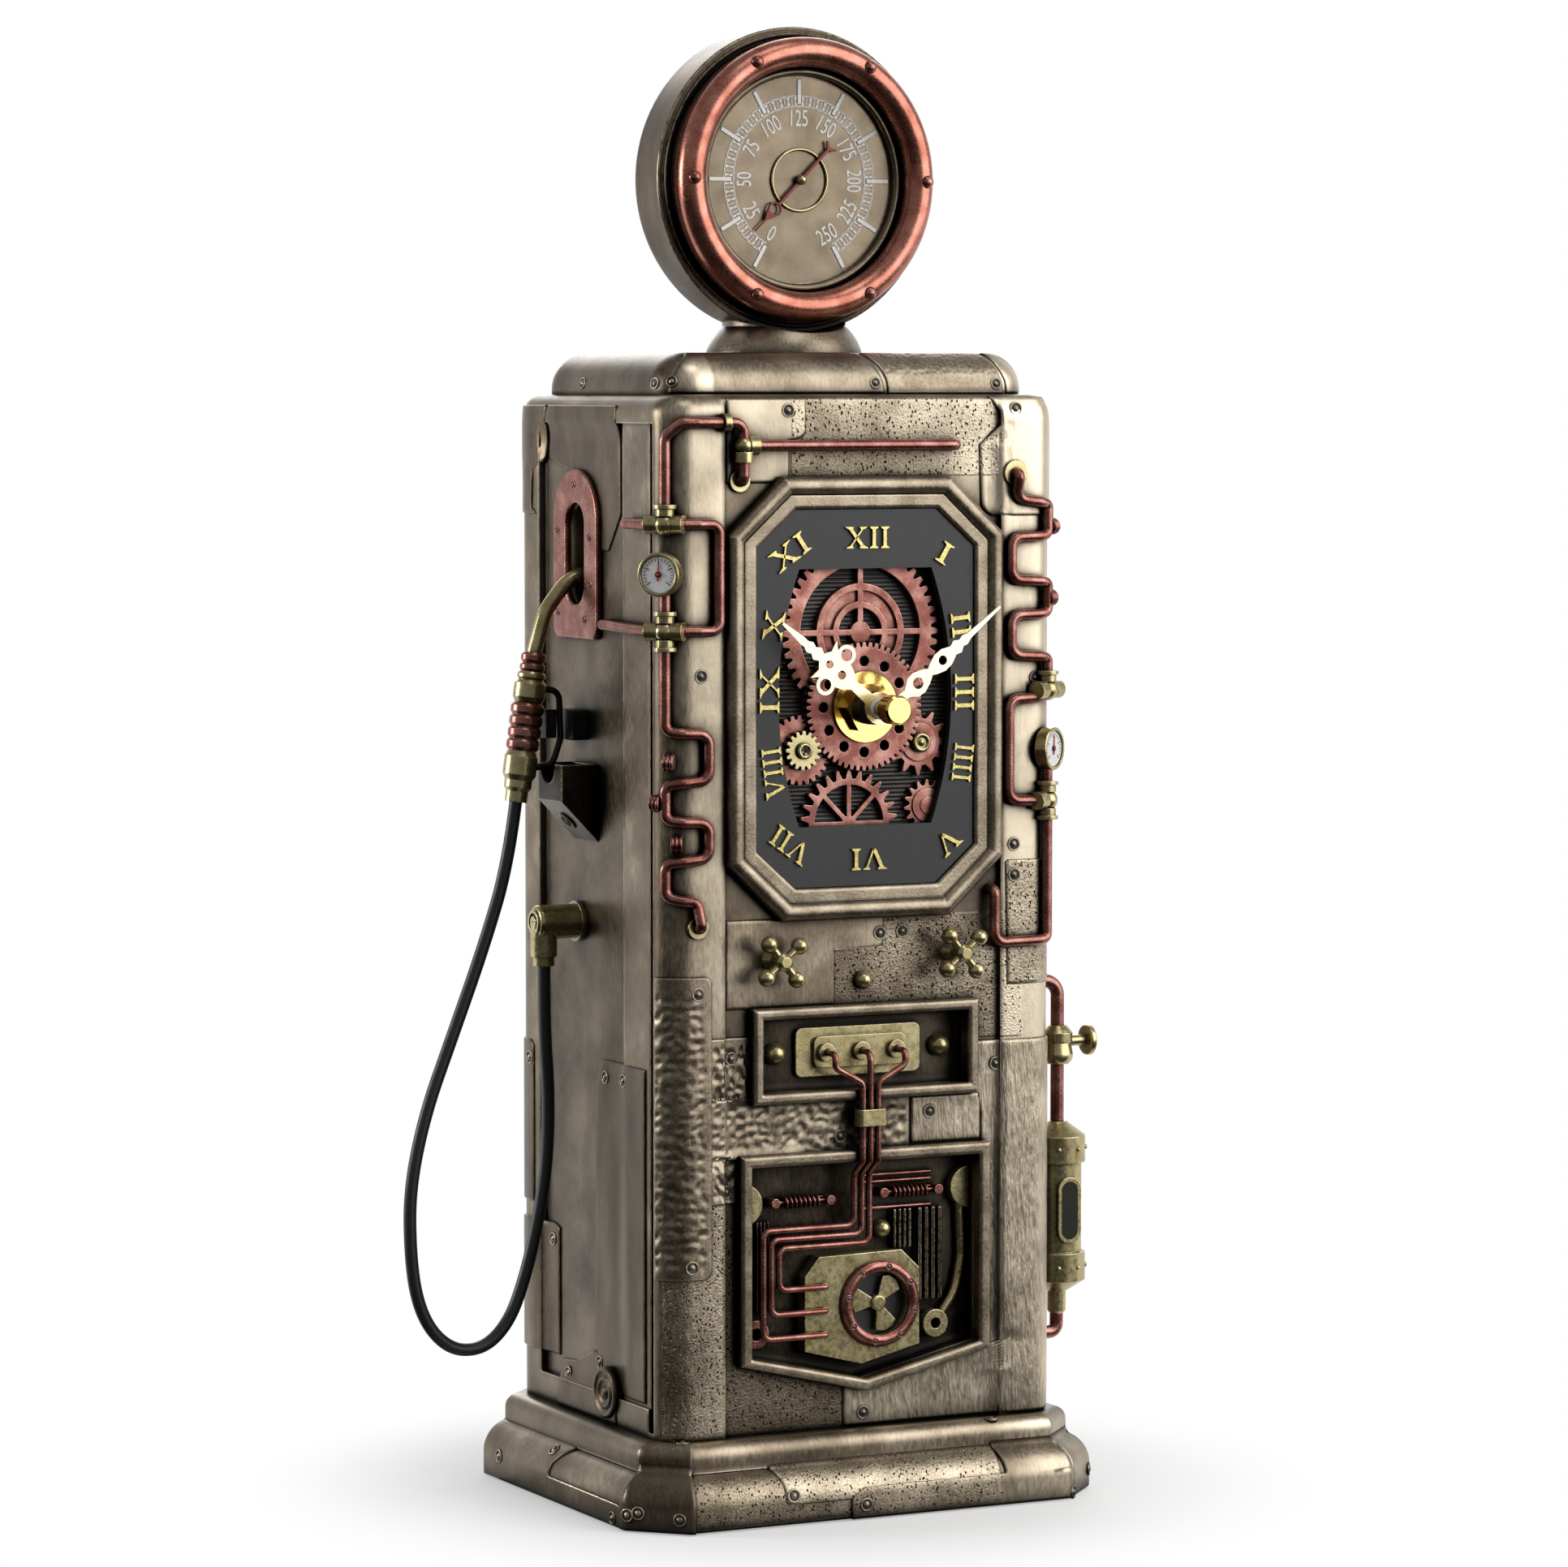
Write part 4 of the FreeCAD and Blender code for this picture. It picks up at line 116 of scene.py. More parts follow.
# Shader maths: a value is a socket that adds nodes when it is used in an expression. Nodes adds
# them to a tree, and a finish is a material whose shader sockets are set by name.
class Value:
    def __init__(self, nodes, socket):
        self.nodes = nodes
        self.socket = socket

    def math(self, operation, *others):
        return self.nodes.node("Math", {"operation": operation}, (self, *others))

    def __add__(self, other):
        return self.math("ADD", other)

    def __sub__(self, other):
        return self.math("SUBTRACT", other)

    def __mul__(self, other):
        return self.math("MULTIPLY", other)

    def __rsub__(self, other):
        return self.nodes.node("Math", {"operation": "SUBTRACT"}, (other, self))

    __radd__ = __add__
    __rmul__ = __mul__

    def ramp(self, low, high, start=0.0, end=1.0):
        # Smooth step from start to end while the value goes from low to high
        settings = {"interpolation_type": "SMOOTHSTEP"}
        return self.nodes.node("MapRange", settings, (self, low, high, start, end))

    def line(self, low, high, start=0.0, end=1.0):
        # Straight step, held at both ends
        return self.nodes.node("MapRange", None, (self, low, high, start, end))

    def between(self, low, high, soft=0.25):
        return self.ramp(low - soft, low + soft) * self.ramp(high - soft, high + soft, 1.0, 0.0)


class Nodes:
    def __init__(self, tree):
        self.tree = tree
        tree.nodes.clear()

    def node(self, kind, settings=None, inputs=(), output=0):
        # Any node: its settings first, then its sockets by order or by name
        made = self.tree.nodes.new("ShaderNode" + kind)
        setAll(made, settings or {})
        pairs = inputs.items() if isinstance(inputs, dict) else enumerate(inputs)
        for key, value in pairs:
            self.fill(made.inputs[key], value)
        return Value(self, made.outputs[output]) if made.outputs else made

    def fill(self, socket, value):
        # With another node's output or with a plain value; a colour gets its alpha
        if isinstance(value, Value):
            self.tree.links.new(value.socket, socket)
        else:
            socket.default_value = (*value, 1.0) if socket.type == "RGBA" else value

    def vector(self, operation, first, second=None, output=0):
        inputs = (first,) if second is None else (first, second)
        return self.node("VectorMath", {"operation": operation}, inputs, output)

    def place(self, stretch=(1, 1, 1)):
        # The point on the object in millimetres; a stretch below 1 draws a pattern out
        point = self.node("TexCoord", output="Object")
        return self.vector("MULTIPLY", point, tuple(1000.0 * part for part in stretch))

    def parts(self, vector):
        return [self.node("SeparateXYZ", None, (vector,), axis) for axis in range(3)]


class Finish(Nodes):
    def __init__(self, name, **fixed):
        self.material = bpy.data.materials.new(name)
        self.material.use_nodes = True
        super().__init__(self.material.node_tree)
        self.shader = self.tree.nodes.new("ShaderNodeBsdfPrincipled")
        self.output = self.node("OutputMaterial", None, (Value(self, self.shader.outputs[0]),))
        for socket, value in fixed.items():
            self.set(socket, value)

    def set(self, socket, value):
        self.fill(self.shader.inputs[socket], value)

    def noise(self, size, detail=2.0, stretch=(1, 1, 1), rough=0.5):
        inputs = {"Vector": self.place(stretch), "Scale": 1.0 / size}
        inputs.update({"Detail": detail, "Roughness": rough})
        return self.node("TexNoise", None, inputs)

    def cells(self, size, stretch=(1, 1, 1)):
        inputs = {"Vector": self.place(stretch), "Scale": 1.0 / size}
        return self.node("TexVoronoi", None, inputs, "Distance")

    def mix(self, factor, first, second):
        return self.node("Mix", {"data_type": "RGBA"}, {0: factor, 6: first, 7: second}, 2)

    def soft(self, radius):
        return self.node("Bevel", {"samples": 6}, {"Radius": radius * 0.001})

    def edges(self, radius, low=0.004, high=0.10):
        # How far the rounded normal leans away from the true one: high on edges and corners
        normal = self.node("NewGeometry", output="Normal")
        likeness = self.vector("DOT_PRODUCT", self.soft(radius), normal, "Value")
        return (1.0 - likeness).ramp(low, high)

    def openShare(self, distance):
        # Ambient light that reaches the point: low in corners and recesses
        inputs = {"Distance": distance * 0.001}
        return self.node("AmbientOcclusion", {"samples": 8}, inputs, "AO")

    def bump(self, height, soft=0.0):
        # Height in millimetres; a soft radius rounds the facets and edges as a casting's are
        inputs = {"Height": height, "Strength": 1.0, "Distance": 0.001}
        if soft:
            inputs["Normal"] = self.soft(soft)
        return self.node("Bump", None, inputs)


# Where wear starts and ends on the grain and on the open share, and how far roughness swings
coatValues = {"grainWear": (0.25, 0.6), "openWear": (0.35, 0.8), "roughSwing": (-0.06, 0.08)}


# Antiqued metal: a dark ground in the recesses, patina and painted shade together, a worn tone
# between, rubbed bright on the edges.
# The tone runs from low at 0 through mid at 0.5 to rubbed at 1. Sizes are in millimetres.
def antiqued(name, v, relief=None):
    finish = Finish(name, Metallic=v["metallic"])
    grain = finish.noise(v["grain"], 4.0, v["stretch"], 0.6)
    patches = finish.noise(v["patch"], 3.0, v["patchStretch"])
    openPart = finish.openShare(v["cavity"])
    tone = v["tone"] + (grain - 0.5) * v["grainTone"] + (patches - 0.5) * v["patchTone"]
    height = grain * v["grainDepth"]
    if relief:
        tone, height = relief(finish, tone, height)
    worn = grain.ramp(*coatValues["grainWear"]) * openPart.ramp(*coatValues["openWear"])
    tone = tone + finish.edges(v["edge"]) * worn * v["wear"]
    colour = finish.mix(tone.line(0.0, 0.5), v["low"], v["mid"])
    colour = finish.mix(tone.line(0.5, 1.0), colour, v["rubbed"])
    # Patina and painted shade: the dark ground shows where little ambient light reaches the point
    dirt = openPart.ramp(v["dirtLow"], v["patinaShadeHigh"])
    finish.set("Base Color", finish.mix(dirt, v["ground"], colour))
    rough = [v["rough"] + swing for swing in coatValues["roughSwing"]]
    finish.set("Roughness", grain.ramp(0.2, 0.8, *rough))
    finish.set("Normal", finish.bump(height, v["soft"]))
    return finish.material


# Painted light and shade on the casing, in millimetres: brighter up high, on the crown, in the
# middle, on the right pillar and on faces that look up, darker on the plinth, the left pillar,
# the sides and the recess floors. A step has its axis and kind of step, then two places and the
# tone at each. Pitted fields are left, right, low and high. Squares serve both sides alike.
zoneValues = {
    "paintedLightSteps": {
        "height": ("z", "line", 60, 262, 0, 0.24),
        "crown": ("z", "ramp", 256.3, 257, 0, 0.25),
        "plinth": ("z", "line", 15, 20, -0.20, 0),
        "middle": ("x", "line", -10, 25, 0, 0.10),
        "rightPillar": ("x", "line", 33, 42, 0, 0.30),
        "leftPillar": ("x", "line", -42, -36, -0.14, 0),
    },
    "front": (-0.9, -0.35, 1, 0),
    "upward": (0.5, 0.9, 0, 0.10),
    "recessDepth": (-40.3, -39.2, 0, -0.55),
    "recessWidthSquared": (1200, 1300, 1, 0),
    "panelWidthSquared": (49.3 * 49.3, 49.9 * 49.9, -0.12, 0.06),
    "panelStart": (-34, -31),
    "side": -0.27,
    "pitted": [
        (-18, 34.8, 238, 255.8), (5.5, 41, 108, 137), (-7, 6, 117.4, 130),
        (-50, -5, 19.5, 62), (-40, -30, 56, 73),
    ],
    "pittedStart": (-38, -37, 1, 0),
    "pittedPlinth": [(1.5, 12.5, 0.8), (-47.5, 30.5, 0.4), (-50, -44, 1, 0)],
}
# Sizes in millimetres, stretch, and what each adds to tone and depth
pitValues = {
    "size": 0.85, "long": 0.62, "edge": (0.10, 0.30, 1, 0), "dark": 0.80, "deep": 0.28,
    "thinned": 1.4, "kept": (0.33, 0.47), "lift": 0.10,
    "skin": 0.5, "skinTone": 0.55, "skinDeep": 0.10,
}
brushValues = {
    "stroke": (0.9, 3, (1, 1, 0.16), 0.62), "wave": (3.4, 1, (1, 1, 0.35)), "waveShare": 0.3,
    "tone": 0.55, "edge": (0.3, 0.7), "deep": 0.10,
}


def castingZones(finish, tone, height):
    # By place on the casing: painted light towards the top and the right, painted shade on the two
    # sides and on the recess floors, with pitted fields on the front and the plinth
    zones = zoneValues
    place = x, y, z = finish.parts(finish.place())
    _, along, up = finish.parts(finish.node("NewGeometry", output="Normal"))
    front = along.line(*zones["front"])
    # Painted shade on the recess floors, then the painted light and shade of each step
    paintedLightShade = y.ramp(*zones["recessDepth"]) * (x * x).ramp(*zones["recessWidthSquared"])
    for axis, kind, *step in zones["paintedLightSteps"].values():
        paintedLightShade = paintedLightShade + getattr(place["xyz".index(axis)], kind)(*step)
    paintedSideLight = (x * x).ramp(*zones["panelWidthSquared"]) * y.ramp(*zones["panelStart"])
    # Front faces take the painted steps; the other faces take painted side light and painted shade
    tone = tone + paintedLightShade * front + (1.0 - front) * (paintedSideLight + zones["side"])
    # Painted light on faces that look up
    tone = tone + up.line(*zones["upward"])
    pitted = 0.0
    for left, right, low, high in zones["pitted"]:
        pitted = x.between(left, right) * z.between(low, high) + pitted
    low, across, deep = zones["pittedPlinth"]
    plinth = z.between(*low) * x.between(*across) * y.ramp(*deep)
    share = pitted * y.ramp(*zones["pittedStart"]) + plinth
    return pitRelief(finish, tone, height, share.line(0.0, 1.0))


def pitRelief(finish, tone, height, share=1.0):
    # Short dark dents, thinned out by a slower noise, over a finely grained skin
    v = pitValues
    dents = finish.cells(v["size"], (1, 1, v["long"])).ramp(*v["edge"])
    kept = finish.noise(v["thinned"], 1.0).ramp(*v["kept"])
    fine = finish.noise(v["skin"], 3.0)
    pit = dents * kept * share
    tone = tone + share * v["lift"] - pit * v["dark"] + (fine - 0.5) * share * v["skinTone"]
    return tone, height - pit * v["deep"] + fine * share * v["skinDeep"]


def brushed(finish, tone, height):
    # Upright strokes, wavy and broken, as left by a coarse brush in soft metal
    v = brushValues
    strokes = finish.noise(*v["stroke"]) * (1 - v["waveShare"])
    mixed = strokes + finish.noise(*v["wave"]) * v["waveShare"]
    return tone + (mixed - 0.5) * v["tone"], height + mixed.ramp(*v["edge"]) * v["deep"]


bronze = {
    "low": (0.022, 0.0155, 0.0105), "mid": (0.205, 0.163, 0.113),
    "rubbed": (0.70, 0.60, 0.45), "ground": (0.006, 0.005, 0.004), "tone": 0.66,
    "grain": 0.7, "stretch": (1, 1, 0.30), "grainTone": 0.40, "grainDepth": 0.045,
    "patch": 13.0, "patchStretch": (1, 1, 1), "patchTone": 0.75,
    "cavity": 7.0, "dirtLow": 0.45, "patinaShadeHigh": 0.97, "edge": 0.6, "wear": 0.95,
    "metallic": 0.90, "rough": 0.33, "soft": 2.2,
}
plain = dict(bronze, stretch=(1, 1, 1), grain=0.6, patch=7.0, patchTone=0.5, soft=0.6)
copper = {
    "low": (0.030, 0.010, 0.008), "mid": (0.250, 0.090, 0.070),
    "rubbed": (0.82, 0.48, 0.40), "ground": (0.008, 0.004, 0.003), "tone": 0.54,
    "grain": 0.45, "stretch": (1, 1, 1), "grainTone": 0.35, "grainDepth": 0.02,
    "patch": 4.0, "patchStretch": (1, 1, 1), "patchTone": 0.5,
    "cavity": 2.4, "dirtLow": 0.30, "patinaShadeHigh": 0.95, "edge": 0.30, "wear": 0.45,
    "metallic": 0.88, "rough": 0.27, "soft": 0.25,
}
brass = dict(copper, tone=0.62, grain=1.1, grainTone=0.22, grainDepth=0.008, patch=5.0)
brass.update(low=(0.026, 0.021, 0.008), mid=(0.350, 0.285, 0.125), rubbed=(0.86, 0.76, 0.46))
brass.update(ground=(0.007, 0.006, 0.003), patchTone=0.45, cavity=2.2, dirtLow=0.32)
# A darker copy of the bronze for the side walls and the gauge drum: painted shade
shadedSideMetal = dict(bronze, tone=0.31, patch=10.0, patchTone=0.9, patchStretch=(1, 1, 0.4), soft=0.8)
shadedSideMetal.update(low=(0.024, 0.017, 0.011), mid=(0.160, 0.120, 0.080))
ringMetal = dict(copper, tone=0.62, mid=(0.30, 0.090, 0.060), rubbed=(0.80, 0.40, 0.30))
gaugeMetal = dict(plain, tone=0.36, dirtLow=0.1, patinaShadeHigh=0.8, patch=6.0, patchTone=0.45)
gaugeMetal.update(grain=0.7, grainTone=0.3, grainDepth=0.02, soft=0.0)
castBronze = antiqued("castBronze", bronze, castingZones)
plateBronze = antiqued("plateBronze", dict(bronze, tone=0.64, soft=0.8), castingZones)
brushedBronze = antiqued("brushedBronze", dict(bronze, tone=0.78, soft=0.8), brushed)
pittedBronze = antiqued("pittedBronze", dict(plain, tone=0.60), pitRelief)
hammered = dict(plain, tone=0.57, edge=0.5, grainDepth=0.02, soft=0.0)
hammeredBronze = antiqued("hammeredBronze", hammered)
shadedSideBronze = antiqued("shadedSideBronze", shadedSideMetal)
trimBronze = antiqued("trimBronze", dict(plain, tone=0.58, wear=1.0))
darkBronze = antiqued("darkBronze", dict(plain, tone=0.10, wear=0.9))
redCopper = antiqued("redCopper", copper)
ringCopper = antiqued("ringCopper", ringMetal)
gearCopper = antiqued("gearCopper", dict(copper, tone=0.56, wear=0.7, patchTone=0.8, rough=0.36))
greenBrass = antiqued("greenBrass", brass)
gaugeBronze = antiqued("gaugeBronze", gaugeMetal)
print("metal finishes made")


def plainFinish(name, colour, rough, metallic=0.0, grain=0.3, depth=0.01, spread=0.12, soft=0.0):
    # A plain coat: fleck size and depth in millimetres, and how far its tone is spread
    finish = Finish(name, Metallic=metallic)
    fleck = finish.noise(grain, 3.0)
    darker = tuple(c * (1 - spread) for c in colour)
    lighter = tuple(min(1.0, c * (1 + spread)) for c in colour)
    finish.set("Base Color", finish.mix(fleck.ramp(0.3, 0.7), darker, lighter))
    finish.set("Roughness", fleck.ramp(0.2, 0.8, rough - 0.04, rough + 0.05))
    finish.set("Normal", finish.bump(fleck * depth, soft))
    return finish.material


def backingFinish():
    # Dark sheet with level ruled lines, worn pale in places
    finish = Finish("ruledSheet", Metallic=0.55)
    lines = (finish.parts(finish.place())[2] * 6.5).math("SINE")
    worn = finish.noise(3.0, 4.0, (0.4, 1.0, 1.0), 0.6)
    tone = (lines * 0.16 + worn).ramp(0.4, 0.8)
    finish.set("Base Color", finish.mix(tone, (0.014, 0.013, 0.012), (0.085, 0.078, 0.070)))
    finish.set("Roughness", worn.ramp(0.2, 0.8, 0.38, 0.52))
    finish.set("Normal", finish.bump(lines * 0.06 + worn * 0.03))
    return finish.material


charcoal = plainFinish("charcoalDial", (0.0185, 0.019, 0.0205), 0.42, 0, 1.2, 0.014, 0.2)
gold = plainFinish("polishedGold", (0.80, 0.58, 0.18), 0.15, 1.0, depth=0.0004, spread=0.02)
paleGold = plainFinish("paleGoldHands", (0.86, 0.76, 0.48), 0.24, 0.85, depth=0.0004, spread=0.02)
numeralGold = plainFinish("numeralGold", (0.56, 0.46, 0.17), 0.30, 0.85, 0.6, 0.02, 0.3)
redPaint = plainFinish("redPointer", (0.17, 0.020, 0.018), 0.38, 0.35, soft=0.15)
brightRed = plainFinish("redNeedle", (0.48, 0.02, 0.02), 0.42)
whitePaint = plainFinish("whitePaint", (0.86, 0.85, 0.82), 0.55, grain=0.25)
blackPaint = plainFinish("blackPaint", (0.012, 0.012, 0.012), 0.5)
blackPlastic = plainFinish("mouldedBlack", (0.020, 0.020, 0.021), 0.42, grain=0.35, depth=0.02)
palePlastic = plainFinish("palePlastic", (0.72, 0.70, 0.62), 0.45)
batteryWrap = plainFinish("batteryWrap", (0.06, 0.065, 0.08), 0.32, 0.3)
blackIron = plainFinish("blackenedMetal", (0.022, 0.020, 0.018), 0.42, 0.6, 0.6, 0.03, soft=0.3)
smokedGlass = plainFinish("smokedGlass", (0.050, 0.048, 0.040), 0.12, 0.2, depth=0.0)
rubber = plainFinish("hoseRubber", (0.016, 0.018, 0.019), 0.42, grain=0.4, depth=0.012)
felt = plainFinish("blackFelt", (0.014, 0.014, 0.016), 0.95, grain=0.25, depth=0.12, spread=0.4)
ruledSheet = backingFinish()

rubberHose.data.materials.append(rubber)

slotFinish = {
    "bronze_casting": castBronze, "copper_finish": redCopper, "brass_finish": greenBrass,
    "gauge_bronze": gaugeBronze, "pointer_red": redPaint, "dial_charcoal": charcoal,
    "polished_gold": gold, "arbor_brass": gold, "dark_metal": blackIron, "felt": felt,
    "black_plastic": blackPlastic, "wheel_plastic": palePlastic, "battery_wrap": batteryWrap,
    "hose_rubber": rubber,
}
finishNodes = {
    paleGold: ("hour_hand", "minute_hand"),
    trimBronze: ("dial_frame", "slot_frame", "pane_frame", "neck_collar"),
    # The gauge drum takes the darker side bronze: painted shade
    shadedSideBronze: ("gauge_drum",),
    ringCopper: ("gauge_bezel",),
    darkBronze: ("pane_ribs", "nozzle_boot"),
    blackIron: ("trigger_guard",),
    greenBrass: ("hose_fitting",),
    ruledSheet: ("gear_backing",),
    gearCopper: ("gear_centre", "gear_low", "gear_ring", "gears_side"),
}
subparts = frame["record"]["subparts"]
nodeFinish = {part["node"]: slotFinish[part["material_slot"]] for part in subparts}
nodeFinish.update({name: finish for finish, names in finishNodes.items() for name in names})
for nodeName, nodeObject in frame["nodes"].items():
    finish = nodeFinish[nodeName]
    if not nodeObject.material_slots:
        nodeObject.data.materials.append(finish)
    for holder in nodeObject.material_slots:
        holder.material = finish
print("solids dressed")


# Meshes: their places and sizes are in millimetres. These finishes are listed with a slot name.
pieceSlots = {redCopper: "copper_finish", greenBrass: "brass_finish"}


def addPiece(name, points, faces, finish, slot=None, smooth=True, body="housing"):
    mesh = bpy.data.meshes.new(name)
    mesh.from_pydata((np.asarray(points, float) * 0.001).tolist(), [], [list(f) for f in faces])
    mesh.update()
    mesh.materials.append(finish)
    mesh.polygons.foreach_set("use_smooth", np.full(len(mesh.polygons), smooth))
    piece = linked(name, mesh)
    slot = slot or pieceSlots.get(finish, "bronze_casting")
    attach(piece, body)
    return piece


def joined(parts):
    # Several point and face sets as one, with the later faces counted on
    points, faces, start = [], [], 0
    for somePoints, someFaces in parts:
        points.append(np.asarray(somePoints, float))
        faces += [tuple(i + start for i in f) for f in someFaces]
        start += len(somePoints)
    return np.vstack(points), faces


def unit(vector):
    vector = np.asarray(vector, float)
    return vector / np.linalg.norm(vector, axis=-1, keepdims=True)


def axesOf(normal, up=(0, 0, 1)):
    # Right, up and out for a spot that faces along a normal
    out = unit(normal)
    right = unit(np.cross(np.array(up, float), out))
    return right, np.cross(out, right), out


def gridFaces(rows, columns, roundWay=False):
    # Squares between neighbouring rows and columns; the last column meets the first if roundWay
    across = columns if roundWay else columns - 1
    row, column = np.meshgrid(np.arange(rows - 1), np.arange(across), indexing="ij")
    low = row * columns + column
    high = row * columns + (column + 1) % columns
    return np.stack([low, high, high + columns, low + columns], -1).reshape(-1, 4)


def welded(points, faces):
    # Points that lie together become one, and faces that this flattens are dropped
    keys = np.round(points * 1e4).astype(np.int64)
    _, first, place = np.unique(keys, axis=0, return_index=True, return_inverse=True)
    faces = place.reshape(-1)[np.asarray(faces)]
    twin = faces == np.roll(faces, -1, axis=1)
    whole = faces[~twin.any(1)]
    bent = [tuple(f[~t]) for f, t in zip(faces[twin.sum(1) == 1], twin[twin.sum(1) == 1])]
    return points[first], [tuple(f) for f in whole] + bent


def turned(profile, centre, normal, steps=20):
    # Pairs (radius, height) carried round the normal, closed at both ends by a point on the axis
    right, up, out = axesOf(normal, (0, 0, 1) if abs(normal[2]) < 0.9 else (0, 1, 0))
    ends = [(0.0, profile[0][1])] + list(profile) + [(0.0, profile[-1][1])]
    radius, height = np.array(ends, float).T
    angle = np.arange(steps) * 2 * pi / steps
    circle = np.cos(angle)[:, None] * right + np.sin(angle)[:, None] * up
    points = circle[None] * radius[:, None, None] + out * height[:, None, None]
    points = points.reshape(-1, 3) + np.array(centre, float)
    return welded(points, gridFaces(len(ends), steps, True))


def slab(outline, depth, centre, normal, up=(0, 0, 1)):
    # An outline in a plane, carried out along its normal, with both ends closed
    right, upward, out = axesOf(normal, up)
    flat = np.array(outline, float)
    area = np.sum(flat[:, 0] * np.roll(flat[:, 1], -1) - np.roll(flat[:, 0], -1) * flat[:, 1])
    flat = flat[::-1] if area < 0 else flat
    low = flat[:, :1] * right + flat[:, 1:] * upward + np.array(centre, float)
    n = len(flat)
    faces = [tuple(range(n - 1, -1, -1)), tuple(range(n, 2 * n))]
    faces += [(i, (i + 1) % n, n + (i + 1) % n, n + i) for i in range(n)]
    return np.vstack([low, low + out * depth]), faces


def turnedBy(outline, degrees, shift=(0, 0)):
    # Clockwise turn of a flat outline about its origin, then a shift
    angle = radians(degrees)
    c, s = cos(angle), sin(angle)
    return np.array(outline, float) @ np.array([[c, -s], [s, c]]) + np.array(shift, float)


def pointsOf(mesh):
    points = np.empty(len(mesh.vertices) * 3, np.float32)
    mesh.vertices.foreach_get("co", points)
    return points.astype(float).reshape(-1, 3)


def trianglesOf(pieces):
    # Corner points of every triangle of some objects or CAD nodes, in millimetres
    found = []
    for piece in pieces:
        mesh = (frame["nodes"][piece] if isinstance(piece, str) else piece).data
        mesh.calc_loop_triangles()
        corners = np.empty(len(mesh.loop_triangles) * 3, np.int32)
        mesh.loop_triangles.foreach_get("vertices", corners)
        found.append(pointsOf(mesh)[corners].reshape(-1, 3, 3) * 1000)
    return np.concatenate(found)


def landOn(triangles, starts, ways, block=4000000):
    # Distance from each start along its way to the first triangle met. The plane of a triangle
    # gives the distance, and two triple products give the shares along its sides. A block is
    # how many pairs are taken at once.
    a = triangles[:, 0]
    u, v = triangles[:, 1] - a, triangles[:, 2] - a
    normal = np.cross(u, v)
    reach = np.full(len(starts), np.inf)
    for part in np.array_split(np.arange(len(starts)), 1 + len(starts) * len(a) // block):
        p, w = starts[part], ways[part]
        turn = np.cross(p, w)
        facing = -(w @ normal.T)
        away = p @ normal.T - np.sum(a * normal, 1)
        first = turn @ v.T - w @ np.cross(v, a).T
        second = -(turn @ u.T - w @ np.cross(u, a).T)
        slack = 1e-6 * np.abs(facing)
        met = (facing > 1e-9) & (first > -slack) & (second > -slack) & (away > 0)
        met &= first + second < facing + slack
        distance = np.where(met, away / np.where(met, facing, 1.0), np.inf)
        reach[part] = distance.min(1)
    return reach


# Three skins give a point on the metal and its outward way, from a height and a run round the
# front and the sides: nought in the middle of the front, minus on the left
skinValues = {
    "casing": {"straight": 43.5, "radius": 7.0, "depth": 41.0},
    "crown": {"straight": 38.0, "radius": 9.0, "depth": 34.5},
    "crownTop": {"flatTop": 257.6, "radius": 8.4},
    "plinth": {"straight": 48.6, "cut": 11.4, "depth": 51.0, "bend": 3.0},
    "plinthTop": {"flatTop": 6.0, "radius": 7.0},
}


def runRound(run, straight, radius, depth):
    # Straight front, quarter arc, then the side: the arc's angle is its length over the radius
    side, far = np.sign(run), np.abs(run)
    turn = np.clip((far - straight) / radius, 0, pi / 2)
    x = side * (np.minimum(far, straight) + radius * np.sin(turn))
    past = np.maximum(far - straight - radius * pi / 2, 0)
    y = past - depth + radius * (1 - np.cos(turn))
    return x, y, np.stack([side * np.sin(turn), -np.cos(turn), 0 * turn], -1)


def cutRound(run, straight, cut, depth, bend):
    # The plinth's cut corner stands in for the arc, with its normal turned over a short way
    side, far = np.sign(run), np.abs(run)
    long = cut * sqrt(2)
    onCut = np.clip(far - straight, 0, long) / sqrt(2)
    y = onCut - depth + np.maximum(far - straight - long, 0)
    past = (far - straight) / bend + 0.5
    turn = (np.clip(past, 0, 1) + np.clip(past - long / bend, 0, 1)) * pi / 4
    out = np.stack([side * np.sin(turn), -np.cos(turn), 0 * turn], -1)
    return side * (np.minimum(far, straight) + onCut), y, out


def casingSkin(run, height):
    x, y, out = runRound(run, **skinValues["casing"])
    return np.stack([x, y, height + 0 * x], -1), out


def leaning(x, y, out, height, flatTop, radius):
    # Upright wall, then a quarter round of the given radius: the height runs on over the round
    lean = np.clip((height - flatTop) / radius, 0, pi / 2)[..., None]
    upright = np.array([0.0, 0.0, 1.0])
    way = out * np.cos(lean) + upright * np.sin(lean)
    low = np.stack([x, y, np.minimum(height, flatTop) + 0 * x], -1)
    beyond = np.maximum(height - flatTop - radius * pi / 2, 0)[..., None]
    return low + (way - out) * radius - out * beyond, way


def crownSkin(run, height):
    return leaning(*runRound(run, **skinValues["crown"]), height, **skinValues["crownTop"])


def baseSkin(run, height):
    return leaning(*cutRound(run, **skinValues["plinth"]), height, **skinValues["plinthTop"])


skinTriangles = trianglesOf(["pump_casing", "crown_slab", "base_plinth"])
plateValues = {"bevel": 0.3, "sink": 0.5, "start": 9.0, "smoothing": 12, "far": 3.0, "clear": 0.12}


def refined(knots, step):
    # Knots with even steps between them
    parts = [np.linspace(a, b, 2 + int((b - a) / step))[:-1] for a, b in zip(knots, knots[1:])]
    return np.concatenate(parts + [[knots[-1]]])


def dented(height, run, level, dents):
    # Each dent is an ellipse: its depth falls to nought with the square of the distance
    for s, v, long, short, turn, depth in dents:
        c, t = cos(turn), sin(turn)
        a = ((run - s) * c + (level - v) * t) / long
        b = ((level - v) * c - (run - s) * t) / short
        height = height - depth * np.clip(1 - a * a - b * b, 0, None)
    return height


